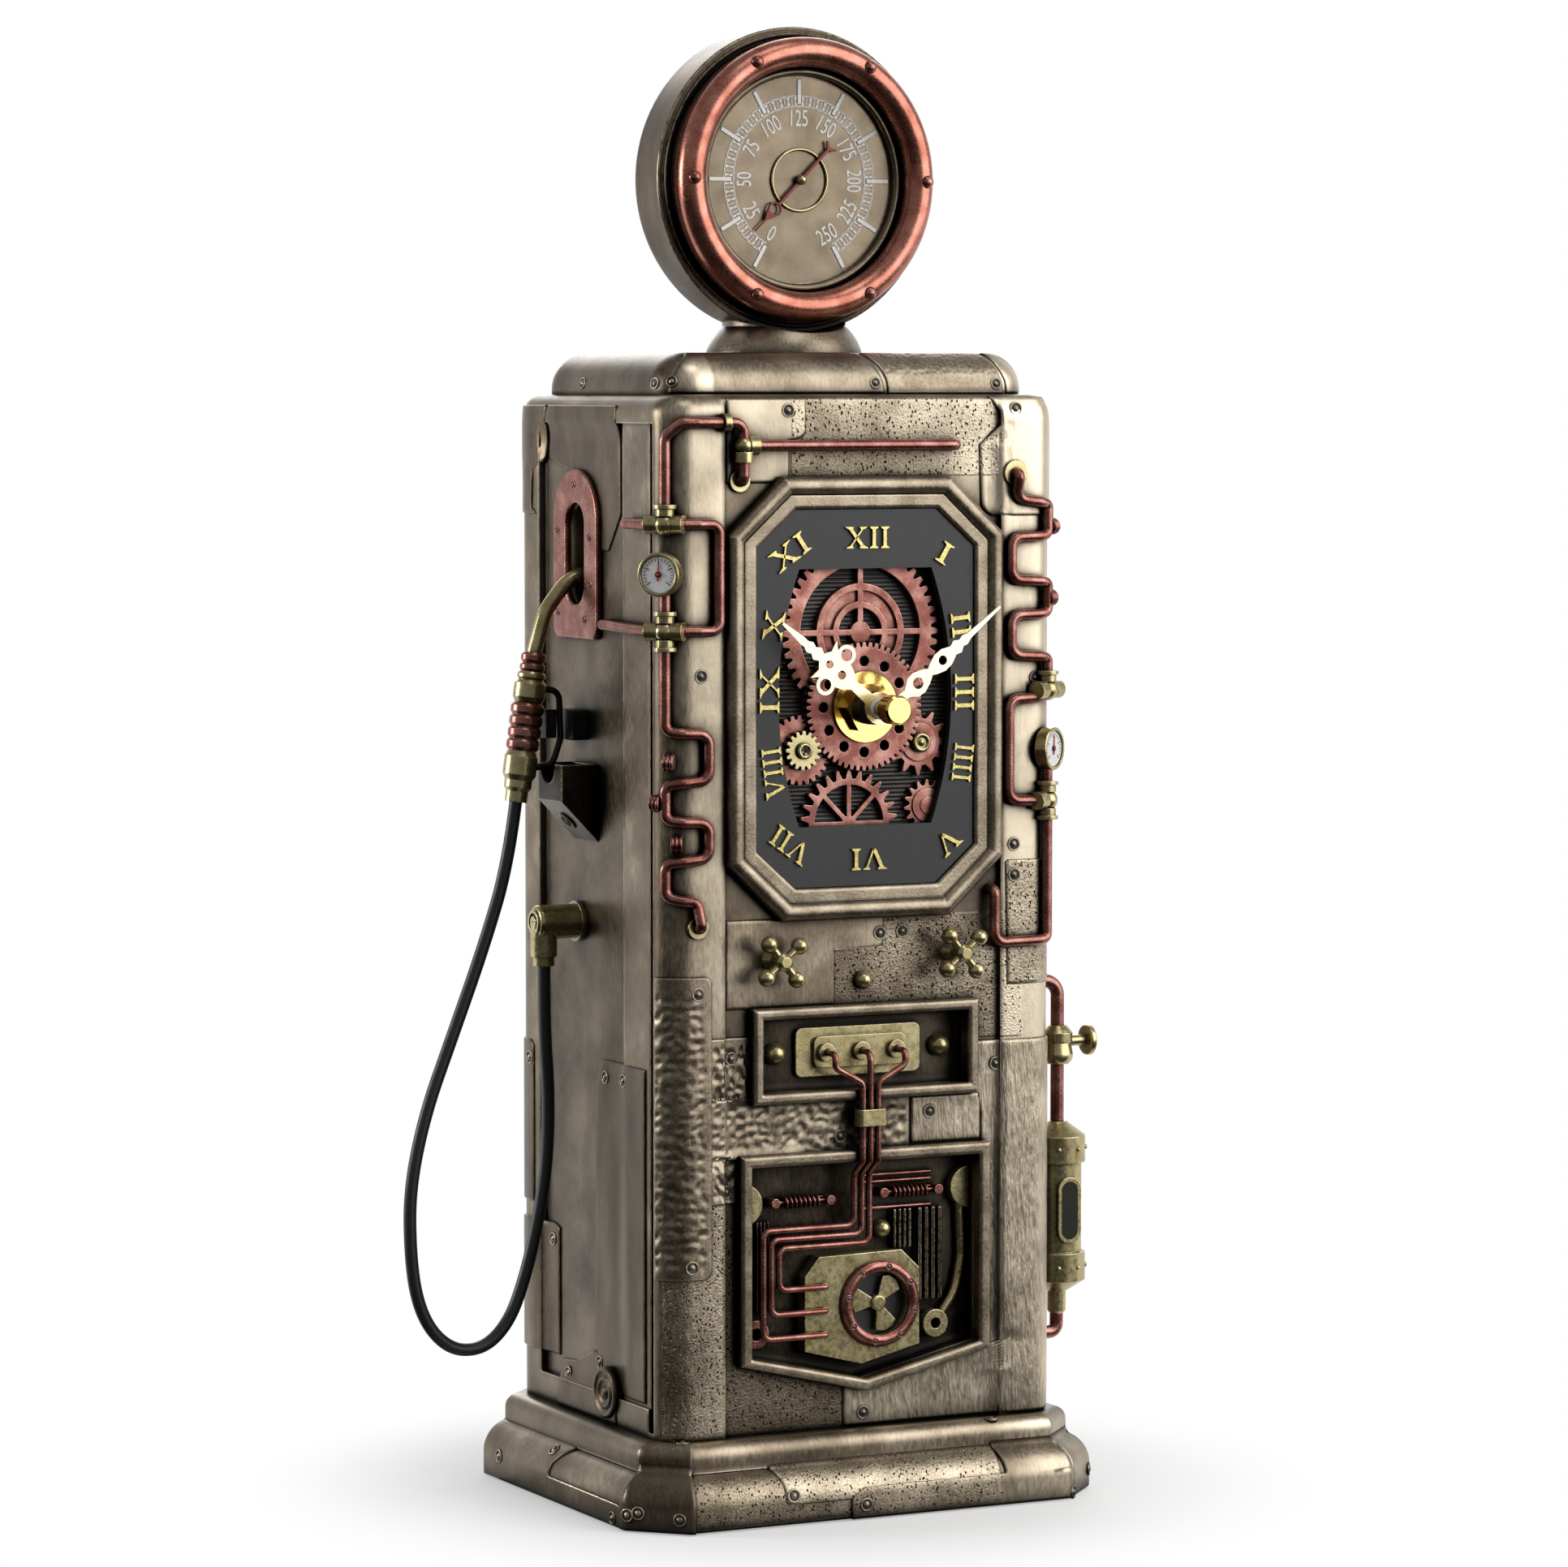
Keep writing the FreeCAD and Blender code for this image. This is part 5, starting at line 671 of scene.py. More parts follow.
def makePlate(name, finish, skin, rise, rows, dents, step):
    # Rows (height, left, right) give a sheet's outline. It lies on the metal beneath, smoothed
    # over steps, and its rim drops straight down with a small bevel. Metal further off than far
    # counts as missing, and the sheet stays clear of what it would cut.
    values = plateValues
    bevel, sink = values["bevel"], values["sink"]
    rows = np.array(rows, float)
    inner = refined(rows[:, 0], step)
    low, high = inner[0], inner[-1]
    level = np.sort([low, low, low + bevel, *inner[1:-1], high - bevel, high, high])
    left, right = np.interp(level, rows[:, 0], rows[:, 1]), np.interp(level, rows[:, 0], rows[:, 2])
    columns = max(3, int((right - left).max() / step))
    span = (right - left - 2 * bevel)[:, None]
    run = (left + bevel)[:, None] + span * np.linspace(0, 1, columns)
    run = np.hstack([left[:, None], left[:, None], run, right[:, None], right[:, None]])
    rim = [-sink, rise - 0.6 * bevel]
    across = np.array(rim + [rise] * columns + rim[::-1])
    along = np.array(rim + [rise] * (len(level) - 4) + rim[::-1])
    height = np.minimum(across[None], along[:, None])
    levels = level[:, None] + 0 * run
    base, way = skin(run, levels)
    starts = (base + way * values["start"]).reshape(-1, 3)
    low, high = base.min((0, 1)) - 1 - values["far"], base.max((0, 1)) + 1 + values["far"]
    near = (skinTriangles.max(1) > low).all(1) & (skinTriangles.min(1) < high).all(1)
    reach = landOn(skinTriangles[near], starts, -way.reshape(-1, 3)).reshape(run.shape)
    metal = values["start"] - reach
    metal = np.where(np.abs(metal) > values["far"], 0.0, metal)
    smooth = metal
    for _ in range(values["smoothing"]):
        wide = np.pad(smooth, 1, mode="edge")
        smooth = (wide[1:-1, :-2] + wide[1:-1, 2:] + wide[:-2, 1:-1] + wide[2:, 1:-1]) / 4
    over = np.maximum(metal + values["clear"] - rise, smooth)
    under = metal - sink
    top = np.where(height > 0, dented(over + height, run, levels, dents), under)
    points = np.concatenate([base + way * top[..., None], base + way * under[..., None]])
    faces = gridFaces(*run.shape)
    points, faces = welded(points.reshape(-1, 3), np.vstack([faces, faces[:, ::-1] + run.size]))
    return addPiece(name, points, faces, finish)


def scatteredDents(seed, pitch, run, level, size, depth):
    # One dent in each square of a grid, moved up to a third of a pitch, with random size and turn
    chance = np.random.default_rng(seed)
    grid = np.meshgrid(np.arange(*run, pitch), np.arange(*level, pitch))
    place = np.stack([part.ravel() for part in grid], -1)
    count = len(place)
    place += chance.uniform(-pitch / 3, pitch / 3, (count, 2))
    long = chance.uniform(size[0], size[1], count)
    short = long * chance.uniform(0.45, 0.8, count)
    turn = chance.uniform(0, pi, count)
    deep = chance.uniform(0.6, 1.0, count) * depth
    return list(zip(place[:, 0], place[:, 1], long, short, turn, deep))


# The sheets on each skin: name, finish, rise over the metal, and rows (height, left, right) from
# the lowest to the highest. On the wall sheets a row's run counts from the wall's y nought.
wallRun = -88.5
casingSheets = [
    ("topLeftPlate", plateBronze, 0.35, [
        (236.5, -34.6, -18.7), (246.4, -34.6, -18.7), (246.6, -34.6, -16.4), (247, -34.6, -15.2),
        (247.8, -34.6, -14.5), (255.6, -34.6, -14.5)]),
    ("topRightPlate", plateBronze, 0.40, [
        (228.6, 33.5, 50), (229.6, 31.6, 51), (231.1, 30.7, 51.5), (244.9, 30.3, 51.5),
        (249.6, 35.7, 51.5), (252.8, 35.2, 51.5), (256, 32.9, 51.5)]),
    ("leftCornerPlate", hammeredBronze, 0.75, [
        (56.3, -52.4, -41), (56.8, -52.8, -39.8), (57.8, -53, -39.1), (123.6, -53, -39.1),
        (124.7, -52.8, -39.6), (125.2, -52.4, -40.6)]),
    ("leafPlate", hammeredBronze, 0.50, [
        (73, -40, -30.5), (83.4, -40, -30.5), (83.6, -40, 12.2), (96.9, -40, 12.2),
        (97.1, -40, -28.6), (111, -40, -28.6)]),
    ("middlePlate", plateBronze, 0.30, [
        (117.2, -35, -7), (129.7, -35, -7), (130.4, -35, 5.4), (137.6, -35, 5.6)]),
    ("lowRightPlate", brushedBronze, 0.45, [
        (19.8, -4.8, 50), (28.9, -4.8, 51), (29.8, -4, 51), (30.2, -3, 51), (37, 31, 51),
        (90, 31, 51), (97, 29.3, 51), (107.2, 29.3, 51)]),
    ("rightShelfPlate", brushedBronze, 0.45, [(84.2, 12.7, 30.8), (95.2, 12.7, 30.8)]),
    ("pillarSeamPlate", pittedBronze, 0.25, [
        (120, 37.2, 50.5), (148.4, 36.6, 51), (149, 37.2, 50.5)]),
]
crownSheets = [
    ("crownMiddlePlate", plateBronze, 0.22, [
        (256.6, -46, 8.4), (259.6, -45.4, 8.1), (263, -44, 6.9), (266.5, -42.6, 5.2),
        (269, -42, 4.4)]),
    ("crownDentedPlate", hammeredBronze, 0.30, [
        (256.6, 9.2, 39.4), (259.6, 8.9, 39.2), (263, 7.8, 38), (266.5, 6, 36.4),
        (269, 5.2, 35.8)]),
    ("crownRightPlate", plateBronze, 0.30, [
        (256.6, 40.2, 56), (259.6, 40, 56), (263, 38.8, 56), (269, 36.6, 56)]),
]
plinthSheets = [
    ("plinthLeftBlock", plateBronze, 0.55, [(0.4, -67.4, -47.8), (21, -67.4, -47.8)]),
    ("plinthRightBlock", plateBronze, 0.45, [(0.4, 51.6, 68), (17, 50.5, 68), (21, 49, 68)]),
    ("plinthUpperPlate", pittedBronze, 0.30, [
        (5, -20.3, 30.6), (5.6, -24.9, 30.6), (9.8, -25.4, 30.6), (16, -27.6, 30.6),
        (20, -28.6, 30.6)]),
    ("plinthRightPlate", plateBronze, 0.55, [
        (0.4, -8.2, 50.8), (5.4, -8.4, 50.8), (7.4, -5.4, 50.8), (7.6, 31.8, 50.8),
        (11.5, 31.2, 50.4), (20, 28.8, 49)]),
    ("plinthSidePlate", plateBronze, 0.40, [
        (0.4, -143.2, -67), (5.7, -143.2, -67), (5.9, -143.2, -106.2), (8.6, -143.2, -105.4),
        (20, -143.2, -96)]),
]
# The side-wall sheets take the darker side bronze: painted shade
wallSheets = [
    ("sideUpperPlate", shadedSideBronze, 0.35, [
        (220.6, 4.4, 8.8), (228.9, 3.4, 15.4), (236, 0.5, 15.4), (241.5, -24, 15.4),
        (254, -22.2, 15.4)]),
    ("sideRearPlate", shadedSideBronze, 0.35, [
        (228.6, -37.5, -28.5), (230, -37.8, -31), (238.7, -37.8, -30.3), (241.3, -37.8, -24.9),
        (254, -37.8, -23)]),
    ("sideCornerPlate", shadedSideBronze, 0.45, [
        (26.8, 14, 29.4), (30, 6, 29.4), (36.8, 0.8, 29.4), (96.8, 1.5, 29.4),
        (102.4, 4.4, 29.4), (103.4, 5.6, 29.2)]),
    ("sideRearStrip", shadedSideBronze, 0.35, [
        (66, -37.8, -30.4), (102.9, -37.8, -30.4), (104.4, -37.8, -32)]),
    ("sideLowStrip", shadedSideBronze, 0.45, [
        (31, -37.8, -18.8), (61.1, -37.8, -18.7), (62.1, -37.8, -22)]),
    ("sideFootPlate", shadedSideBronze, 0.40, [
        (19.8, -17.6, 15), (26.4, -17.6, 14), (30.4, -17.4, 6.5), (31, -10.3, 5.8),
        (34.9, 0.2, 2)]),
]
wallSheets = [
    (*rest, [(z, wallRun + left, wallRun + right) for z, left, right in rows])
    for *rest, rows in wallSheets
]
# Mesh step, then seed, pitch, run, level, size and depth of the hammered sheets' dents
dentValues = {
    "leftCornerPlate": (0.5, 3, 2.4, (-51.5, -41), (60, 122), (0.9, 1.7), 0.22),
    "leafPlate": (0.5, 5, 2.2, (-38, 12), (75, 110), (0.8, 1.6), 0.26),
    "crownDentedPlate": (0.4, 6, 1.35, (9.6, 38), (259, 268), (0.5, 0.8), 0.14),
}


def laySheets(skin, sheets):
    made = []
    for name, finish, rise, rows in sheets:
        step, *spread = dentValues.get(name, (0.8,))
        dents = scatteredDents(*spread) if spread else ()
        made.append(makePlate(name, finish, skin, rise, rows, dents, step))
    return made


plateObjects = laySheets(casingSkin, casingSheets) + laySheets(crownSkin, crownSheets)
plateObjects += laySheets(baseSkin, plinthSheets) + laySheets(casingSkin, wallSheets)
print("sheets laid on the casing:", len(plateObjects))

# Rivets: a round head in a dish with a thin raised rim, set on whatever metal is there. A black
# disc of painted shadow lies on the dish's floor.
rivetValues = {"head": 0.78, "rise": 0.55, "dish": 1.28, "rim": 1.6, "lift": 0.26}
skinTriangles = np.concatenate([skinTriangles, trianglesOf(plateObjects)])
frontWay = np.array([0, -1, 0])


def landed(spots, triangles, above=8.0):
    # Spots are pairs of a place and its outward way; each place drops from above onto the metal
    start = np.array([place for place, _ in spots], float)
    way = unit([way for _, way in spots])
    reach = landOn(triangles, start + way * above, -way)
    reach = np.where(np.isfinite(reach), reach, above)
    return zip(start + way * (above - reach)[:, None], way)


def domeOf(radius, rise, end):
    # Quarter ellipse from the foot inwards
    return [(radius * cos(a), rise * sin(a)) for a in np.linspace(0, end, 6)]


def rivetShapes(spot, way, size):
    head, rise, dish, rim, lift = [part * size for part in rivetValues.values()]
    ring = [(rim, -0.4), (rim, lift * 0.5), (rim - 0.1 * size, lift), (dish, lift), (dish, 0.02)]
    dome = [(head, -0.3)] + domeOf(head, rise, pi / 2)[:-1] + [(0.01, rise)]
    # A black disc of painted shadow on the floor of the dish
    floor = [(dish + 0.05, 0.0), (dish + 0.05, 0.05)]
    return [turned(ring, spot, way, 18), turned(dome, spot, way, 12)], turned(floor, spot, way, 18)


def rivetSet(name, spots, triangles, size=1.0, finish=trimBronze):
    # The black discs of painted shadow are gathered apart from the metal
    metal, dark = [], []
    for spot, out in landed(spots, triangles):
        shapes, dish = rivetShapes(spot, out, size)
        metal += shapes
        dark.append(dish)
    addPiece(name, *joined(metal), finish)
    addPiece(name + "PaintedShadows", *joined(dark), blackPaint, pieceSlots.get(finish), False)


def studSet(name, spots, node, finish, radius, rise):
    # Plain round heads without a dish
    profile = [(radius, -0.6)] + domeOf(radius, rise, 1.5)
    places = landed(spots, trianglesOf([node]))
    addPiece(name, *joined([turned(profile, spot, out, 16) for spot, out in places]), finish)


def onSkin(skin, pairs):
    return list(zip(*skin(*np.array(pairs, float).T)))


def ringWays(degrees, up=(0, 0, 1)):
    # Ways round a ring, from up towards plus x
    angle = np.radians(degrees)[:, None]
    return np.sin(angle) * np.array([1, 0, 0]) + np.cos(angle) * np.array(up)


frontSpots = [
    (-19, 252.9), (39.2, 253.2), (-41.5, 193.2), (-42.6, 121.4), (-44.1, 59.3), (4.5, 133.3),
    (10.4, 133.5), (-33.5, 106.2), (34.7, 101.7), (17.4, 91.5), (-5.7, 87), (-34.9, 75.9),
    (0.2, 22.7), (38.9, 152.6), (38.9, 145.5), (44.5, 191.1),
]
wallSpots = [(-7, 99.4), (-17.4, 99.7), (32.7, 100.1), (22.2, 58.1), (13.3, 27.6), (-3.6, 32.6)]
frontSpots += [(wallRun - y, z) for y, z in wallSpots]
rivetSet("casingRivets", onSkin(casingSkin, frontSpots), skinTriangles)
crownSpots = [(6, 259.1), (37.4, 258.9), (-45, 259.4), (-49.8, 259), (-88, 259.1), (88, 259.1)]
rivetSet("crownRivets", onSkin(crownSkin, crownSpots), skinTriangles, 0.85)
baseSpots = [
    (-23.2, 7.1), (-4.8, 3.6), (31.6, 17), (50.2, 1.6), (-54, 18.6), (-61.5, 4.6),
    (-51.5, 3.6), (-64, 4), (-134, 6), (-70.8, 2.2), (64, 4.6), (-108, 12),
]
rivetSet("plinthRivets", onSkin(baseSkin, baseSpots), skinTriangles)
shieldSpots = [(7.4, 235.7), (16.5, 225), (-1, 223.6), (1.7, 204.6), (-1.4, 212.8), (16.4, 206)]
shieldSpots = [((-52, y, z), (-1, 0, 0)) for y, z in shieldSpots]
rivetSet("shieldRivets", shieldSpots, trianglesOf(["nozzle_slot_plate"]), 0.62, redCopper)
eight = 45 * np.arange(8)
fanSpots = [((4.9, -42, 47.6) + way * 8.75, frontWay) for way in ringWays(eight + 12)]
rivetSet("fanRivets", fanSpots, trianglesOf(["fan_ring"]), 0.5, redCopper)
bezelWays = ringWays([30, 90.4, 150, 208, 270, 332])
bezelSpots = [((0, -12, 306) + way * 29.8, way * 0.12 + frontWay) for way in bezelWays]
studSet("bezelStuds", bezelSpots, "gauge_bezel", redCopper, 1.5, 1.15)
print("rivets set")

# Roman numerals: waisted strokes with flared ends. A letter is its advance and its strokes, each
# (foot, head, width, flares); a word is its text, x, z, turn in degrees and measured width.
numeralValues = {
    "height": 4.9,
    "depth": 0.8,
    "gap": 0.65,
    "plateFront": -41.4,
    "letterStrokes": {
        "I": (2.55, [(0, 0, 0.72, (1.9, 1.9))]),
        "V": (5.3, [(0.12, -1.75, 0.80, (0.5, 1.9)), (0.12, 1.75, 0.36, (0.3, 1.5))]),
        "X": (5.5, [(1.75, -1.75, 0.85, (1.9, 1.8)), (-1.65, 1.65, 0.36, (1.6, 1.6))]),
    },
    "words": [
        ("XII", 0.2, 224, 0, 11), ("I", 20.1, 220.2, 32, 3), ("II", 24.4, 203.7, 84, 5.6),
        ("III", 25.3, 188.2, 90, 8.4), ("IIII", 24.9, 172, 97, 8.6), ("V", 21.1, 153.8, 140, 5.5),
        ("VI", 0.5, 150.6, 180, 8.6), ("VII", -19.6, 154.5, 215, 10),
        ("VIII", -23.8, 171, 263, 11.4), ("IX", -24.8, 189.6, 270, 10.1),
        ("X", -23.7, 204.3, 280, 6.5), ("XI", -19.6, 220.9, 325, 10),
    ],
}


def stroke(low, high, width, flares):
    # A bar from its foot to its head: straight between, with a flared serif at each end
    way = unit(np.subtract(high, low))
    bend, serif = way * 0.62 / abs(way[1]), way * 0.22
    rows = [(low, flares[0]), (low + serif, flares[0]), (low + bend, width)]
    rows += [(high - bend, width), (high - serif, flares[1]), (high, flares[1])]
    right = [np.add(place, (wide / 2, 0)) for place, wide in rows]
    return right + [np.subtract(place, (wide / 2, 0)) for place, wide in reversed(rows)]


def makeNumerals(height, depth, gap, plateFront, letterStrokes, words):
    parts, half = [], height / 2
    for word, x, z, degrees, width in words:
        letters = [letterStrokes[kind] for kind in word]
        total = sum(advance for advance, _ in letters) - gap
        scale, cursor = width / total, -(total + gap) / 2
        for advance, strokes in letters:
            for foot, head, wide, flares in strokes:
                flat = np.array(stroke((foot, -half), (head, half), wide, flares))
                flat = (flat + (cursor + advance / 2, 0)) * (scale, 1)
                flat = turnedBy(flat, degrees, (x, z))
                parts.append(slab(flat, depth, (0, plateFront, 0), frontWay))
            cursor += advance
    addPiece("dialNumerals", *joined(parts), numeralGold, "polished_gold", False)


makeNumerals(**numeralValues)
print("numerals made")

# Gauge dial: long ticks, a band of small bow ties between two rings, and upright digits
gaugeValues = {
    "centre": (0, -7.8, 306), "start": -150, "step": 30,
    "print": 0.14, "tickPrint": 0.25, "line": 0.14, "band": (17, 19.4),
    "barHalf": 0.08, "bowHalf": 0.42, "tickHalf": 0.425, "tickRun": (17.6, 23.2),
    "digitRadius": 14.3, "digitHeight": 3.9, "digitNarrow": 0.66, "digitBold": -0.01,
}


def arcBand(inner, outer, start, end, steps):
    # Points on two arcs, clockwise from straight up
    angle = np.radians(np.linspace(start, end, steps + 1))
    ring = np.stack([np.sin(angle), np.cos(angle)], 1)
    return np.vstack([ring * inner, (ring * outer)[::-1]])


def barOf(half, low, high, waist=None):
    # An upright bar, or a bow tie when it has a waist
    middle = [] if waist is None else [(waist, (low + high) / 2)]
    right = [(half, low)] + middle + [(half, high)]
    return right + [(-x, z) for x, z in reversed(right)]


def wordMesh(text, height, bold):
    # The built-in letters as a mesh lying in a plane and centred, bolder by the bold value
    curve = bpy.data.curves.new("word", "FONT")
    setAll(curve, {"body": text, "size": height * 1.38, "align_x": "CENTER"})
    setAll(curve, {"extrude": 0.1, "offset": -bold, "resolution_u": 4})
    holder = linked("word", curve)
    bpy.context.view_layer.update()
    mesh = bpy.data.meshes.new_from_object(holder)
    points = pointsOf(mesh)
    faces = [tuple(face.vertices) for face in mesh.polygons]
    bpy.data.objects.remove(holder)
    bpy.data.curves.remove(curve)
    bpy.data.meshes.remove(mesh)
    points[:, :2] -= (points[:, :2].max(0) + points[:, :2].min(0)) / 2
    return points, faces


def gaugeDigits(values):
    parts = []
    for k in range(11):
        degrees = values["start"] + values["step"] * k
        points, faces = wordMesh(str(25 * k), values["digitHeight"], values["digitBold"])
        angle = radians(degrees)
        shift = values["digitRadius"] * np.array([sin(angle), cos(angle)])
        turn = degrees if abs(degrees) < 100 else degrees - copysign(180, degrees)
        flat = turnedBy(points[:, :2] * (values["digitNarrow"], 1.0), turn, shift)
        high = np.where(points[:, 2] > 0, values["print"], 0.0)
        parts.append((np.stack([flat[:, 0], -high, flat[:, 1]], 1) + values["centre"], faces))
    return parts


def makeGaugePrint(values):
    parts = []
    line, step, waist = values["line"], values["step"], values["barHalf"]
    for radius in values["band"]:
        for start in range(values["start"], -values["start"], step):
            band = arcBand(radius - line, radius + line, start, start + step, 10)
            parts.append(slab(band, values["print"], values["centre"], frontWay))
    long = barOf(values["tickHalf"], *values["tickRun"])
    bow = barOf(values["bowHalf"], *values["band"], waist)
    short = barOf(waist, *values["band"])
    for k in range(101):
        shape = short if k % 10 else long
        shape = bow if k % 2 else shape
        high = values["print"] if k % 10 else values["tickPrint"]
        shape = turnedBy(shape, values["start"] + step * k / 10)
        parts.append(slab(shape, high, values["centre"], frontWay))
    addPiece("gaugePrint", *joined(parts + gaugeDigits(values)), whitePaint, "gauge_bronze", False)


makeGaugePrint(gaugeValues)
hub = [(1.15, -0.6), (1.15, 0.3), (0.95, 0.75), (0.55, 1.05), (0.01, 1.15)]
addPiece("gaugeHub", *turned(hub, (0, -9.2, 306), frontWay), greenBrass)
print("gauge printed")

# Small gauges: name, side, degrees round the corner, height and distance over the metal
miniValues = {"radius": 4.1, "needleTurn": 4, "start": -130, "step": 13}
miniGauges = [("leftGauge", -1, 48.0, 216.3, 5.2), ("rightGauge", 1, 34.0, 174.5, 2.5)]


def miniFace(name, place, way, radius, needleTurn, start, step):
    # White face, then black ticks and hub, then a red needle, each a little further out
    ring = arcBand(0, radius, 0, 360, 40)[41:]
    addPiece(name + "Face", *slab(ring, 0.12, place, way), whitePaint, "brass_finish", False)
    marks = []
    for k in range(21):
        inner, half = (0.74, 0.06) if k % 5 else (0.60, 0.10)
        tick = barOf(half, radius * inner, radius * 0.88)
        marks.append(slab(turnedBy(tick, start + step * k), 0.06, place + way * 0.12, way))
    marks.append(turned([(0.75, 0), (0.75, 0.25), (0.01, 0.3)], place + way * 0.12, way, 12))
    addPiece(name + "Marks", *joined(marks), blackPaint, "brass_finish", False)
    needle = [(-0.22, -1.4), (0.22, -1.4), (0.09, radius * 0.7), (-0.09, radius * 0.7)]
    parts = [slab(turnedBy(needle, needleTurn), 0.14, place + way * 0.22, way)]
    parts.append(turned([(0.42, 0), (0.42, 0.42), (0.01, 0.5)], place + way * 0.2, way, 12))
    addPiece(name + "Needle", *joined(parts), brightRed, "pointer_red", False)


def cornerSpot(side, degrees, z, over):
    # A place over the casing's rounded front corner, the way that it faces, and its left or right
    straight, radius, depth = skinValues["casing"].values()
    c, s = cos(radians(degrees)), sin(radians(degrees))
    way = np.array([side * s, -c, 0.0])
    place = np.array([side * straight, radius - depth, z]) + way * (radius + over)
    return place, way, np.array([side * c, s, 0.0])


for name, *spot in miniGauges:
    place, way, _ = cornerSpot(*spot)
    miniFace(name, place, way, **miniValues)
print("small gauges printed")

# Clamps: three-ribbed copper bands on the runs of the corner pipes, by side, degrees and height
clampSpots = [(-1, 42, 174), (-1, 62, 164.7), (-1, 30, 155.6), (1, 38, 226), (1, 32, 209.5)]
bandProfile = [(1.55, -1.3), (1.95, -1.15), (1.95, -0.75), (1.65, -0.6), (1.65, -0.3), (2, -0.15)]
bandProfile += [(radius, -height) for radius, height in reversed(bandProfile)]
bands = [cornerSpot(*spot, 1.5) for spot in clampSpots]
bands = [turned(bandProfile, place, along) for place, _, along in bands]
addPiece("pipeClamps", *joined(bands), redCopper)


# Canister: dome rivets round both bands and an oval sight glass
def oval(half, low, high, steps=10):
    # Two half circles joined by straight sides
    angle = np.linspace(0, pi, steps)
    top = np.stack([half * np.cos(angle), high - half + half * np.sin(angle)], 1)
    return np.vstack([top, np.stack([-top[:, 0], low + high - top[:, 1]], 1)])


canisterWays = ringWays(eight + 20, (0, -1, 0))
canisterSpots = [((58.0, -28.0, z) + way * 7.0, way) for z in (79.4, 51.4) for way in canisterWays]
studSet("canisterStuds", canisterSpots, "canister", greenBrass, 0.62, 0.5)
sights = [("sightFrame", oval(3.0, 57.2, 72.9), 1.35, greenBrass)]
sights += [("sightGlass", oval(2.1, 58.2, 71.9), 1.45, smokedGlass)]
for name, outline, high, finish in sights:
    shape = slab(outline, high, (58.0, -33.0, 0.0), frontWay)
    addPiece(name, *shape, finish, "brass_finish", False)

# Black disc of painted shadow behind the fan's blades
fanShadowDisc = turned([(7.35, 0.0), (7.35, 0.12)], (4.9, -36.55, 47.6), frontWay, 40)
addPiece("fanShadowDisc", *fanShadowDisc, blackPaint, smooth=False)

# Turned bosses: name, finish, place, way, sides, and pairs (radius, height)
bosses = [
    # The wall boss takes the darker side bronze: painted shade
    ("wallBoss", shadedSideBronze, (-50.7, -9.8, 26.6), (-1, 0, 0), 32, [
        (6, -0.8), (6, 0.6), (5.6, 0.95), (5, 0.95), (4.6, 0.45), (3.9, 0.45), (3.6, 0.85),
        (3, 0.95), (2.6, 0.45), (1.5, 0.45), (1.3, 0.8), (0.8, 1.05), (0.01, 1.1)]),
    ("bootRing", darkBronze, (-53.8, 3.9, 158.2), (-0.72, 0, -0.7), 24, [
        (2.5, -0.3), (2.5, 0.3), (2.2, 0.5), (1.8, 0.5), (1.6, 0.1), (0.9, 0.1), (0.8, 0.5),
        (0.01, 0.6)]),
    ("rightGearHub", greenBrass, (15, -40.4, 176.8), frontWay, 24, [
        (2.25, -0.2), (2.25, 0.35), (1.95, 0.6), (1.5, 0.6), (1.3, 0.2), (0.8, 0.2), (0.6, 0.5),
        (0.01, 0.5)]),
    ("gearScrew", greenBrass, (-15.5, -41.3, 175.7), frontWay, 20, [
        (1.9, -0.3), (1.9, 0.35), (1.6, 0.6), (1.2, 0.6), (1.1, 0.35), (0.01, 0.35)]),
]
for name, finish, place, way, steps, profile in bosses:
    addPiece(name, *turned(profile, place, way, steps), finish)
slots = [turnedBy(barOf(1.5, -0.22, 0.22), turn) for turn in (20, 110)]
slots = [slab(outline, 0.12, (-15.5, -41.62, 175.7), frontWay) for outline in slots]
addPiece("gearScrewSlots", *joined(slots), blackPaint, "brass_finish", False)
print("small parts made")

# Light, floor and background, in metres, degrees and watts. A lamp's turn is to the right of
# straight in front, and rise is up. The floor's glow goes from its share at the first distance
# to its share at the second, both in millimetres.
studioValues = {
    "world": 0.28,
    "aim": (0.0, 0.0, 0.17),
    "backWay": (0.45, 0.893, 0.0),
    "backEdge": (0.35, 0.85),
    "lamps": {
        "keyLamp": {"turn": 42, "rise": 16, "away": 1.8, "size": 2.2, "power": 35},
        "topLamp": {"turn": 10, "rise": 65, "away": 1.8, "size": 0.8, "power": 4},
        "backLeftLamp": {"turn": -118, "rise": 10, "away": 1.5, "size": 0.5, "power": 9},
        "backLamp": {"turn": 160, "rise": 25, "away": 1.8, "size": 1.2, "power": 9},
    },
    "floorReach": 6.0,
    "floorTone": 0.94,
    "floorFade": (60.0, 130.0, 0.35, 1.0),
}


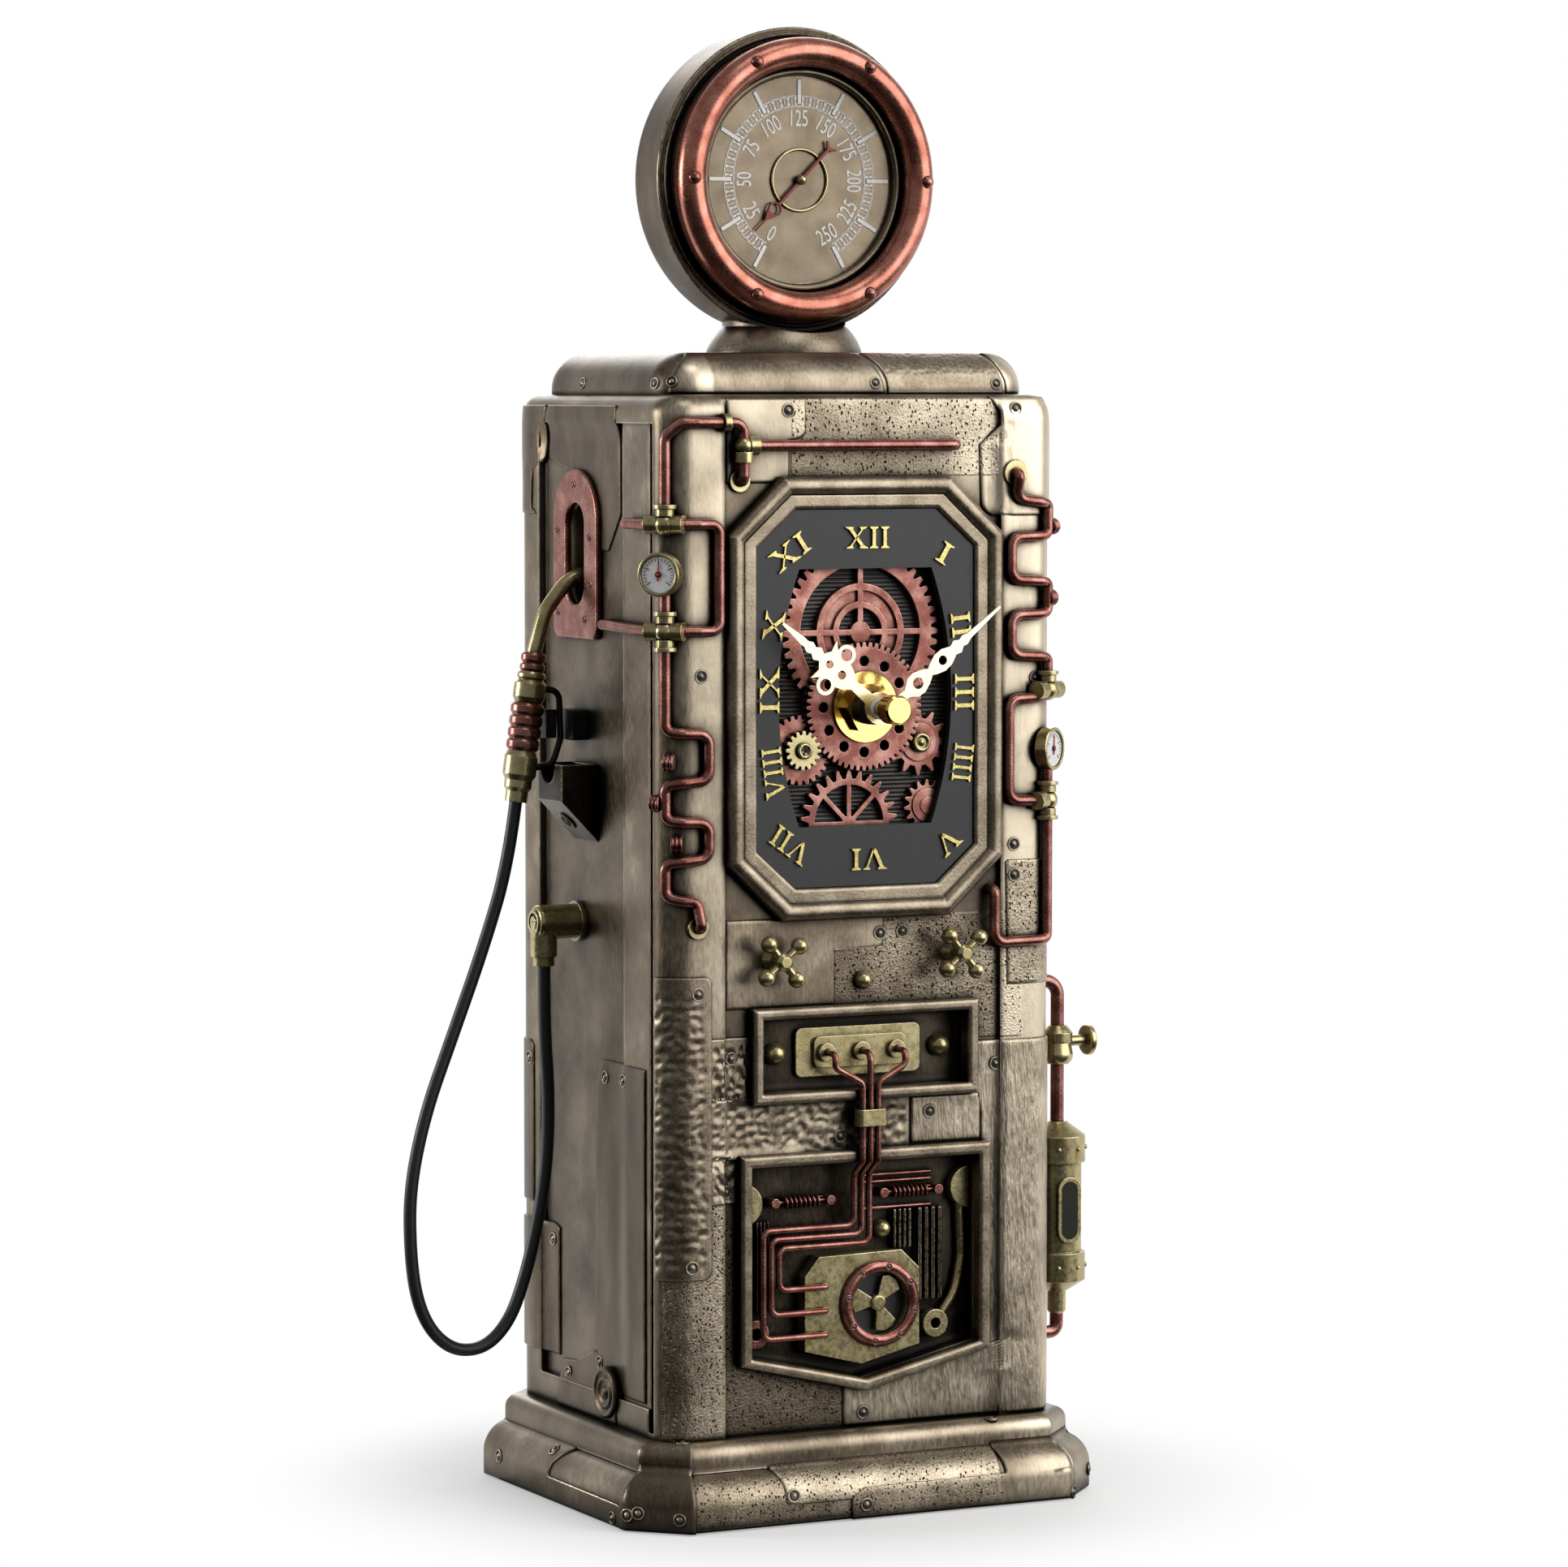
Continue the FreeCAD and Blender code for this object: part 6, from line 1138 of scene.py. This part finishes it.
def seenShare(nodes, way, values):
    # One for camera rays, and for glossy and transmission rays that go to the background
    camera, glossy, passing = (
        nodes.node("LightPath", output=f"Is {kind} Ray")
        for kind in ("Camera", "Glossy", "Transmission")
    )
    behind = nodes.vector("DOT_PRODUCT", way, values["backWay"], "Value").ramp(*values["backEdge"])
    return (glossy.math("MAXIMUM", passing) * behind).math("MAXIMUM", camera)


def makeStudio(values):
    # The world is white where it is seen, and dimmer as a light
    world = bpy.data.worlds.new("studioWorld")
    bpy.context.scene.world = world
    world.use_nodes = True
    nodes = Nodes(world.node_tree)
    seen = seenShare(nodes, nodes.node("TexCoord", output="Generated"), values)
    light = {"Color": (1, 1, 1), "Strength": seen.line(0.0, 1.0, values["world"], 1.0)}
    back = nodes.node("Background", None, light)
    nodes.node("OutputWorld", None, (back,))
    for name, lampValues in values["lamps"].items():
        makeLamp(name, np.array(values["aim"]), **lampValues)


def makeLamp(name, aim, turn, rise, away, size, power):
    # A round soft box that faces the aim
    data = bpy.data.lights.new(name, "AREA")
    setAll(data, {"shape": "DISK", "size": size, "energy": power})
    lamp = linked(name, data)
    turn, rise = radians(turn), radians(rise)
    way = np.array([sin(turn) * cos(rise), -cos(turn) * cos(rise), sin(rise)])
    lamp.location = aim + way * away
    lamp.rotation_euler = (pi / 2 - rise, 0, turn)


def makeFloor(values):
    # Pale floor that keeps the object's shadow near it and fades to white further out
    points = np.array([(-1, -1, 0), (1, -1, 0), (1, 1, 0), (-1, 1, 0)]) * values["floorReach"]
    mesh = bpy.data.meshes.new("floor")
    mesh.from_pydata(points.tolist(), [], [(0, 1, 2, 3)])
    floor = linked("floor", mesh)
    finish = Finish("paleFloor", Roughness=0.9)
    finish.set("Base Color", (values["floorTone"],) * 3)
    finish.set("Specular IOR Level", 0.1)
    point = finish.place()
    fade = finish.vector("LENGTH", point, output="Value").ramp(*values["floorFade"])
    glow = finish.node("Emission", None, {"Strength": seenShare(finish, point, values)})
    coat = Value(finish, finish.shader.outputs[0])
    blend = finish.node("MixShader", None, (fade, coat, glow))
    finish.tree.links.new(blend.socket, finish.output.inputs[0])
    mesh.materials.append(finish.material)


makeStudio(studioValues)
makeFloor(studioValues)
print("studio ready")

bpy.context.view_layer.update()
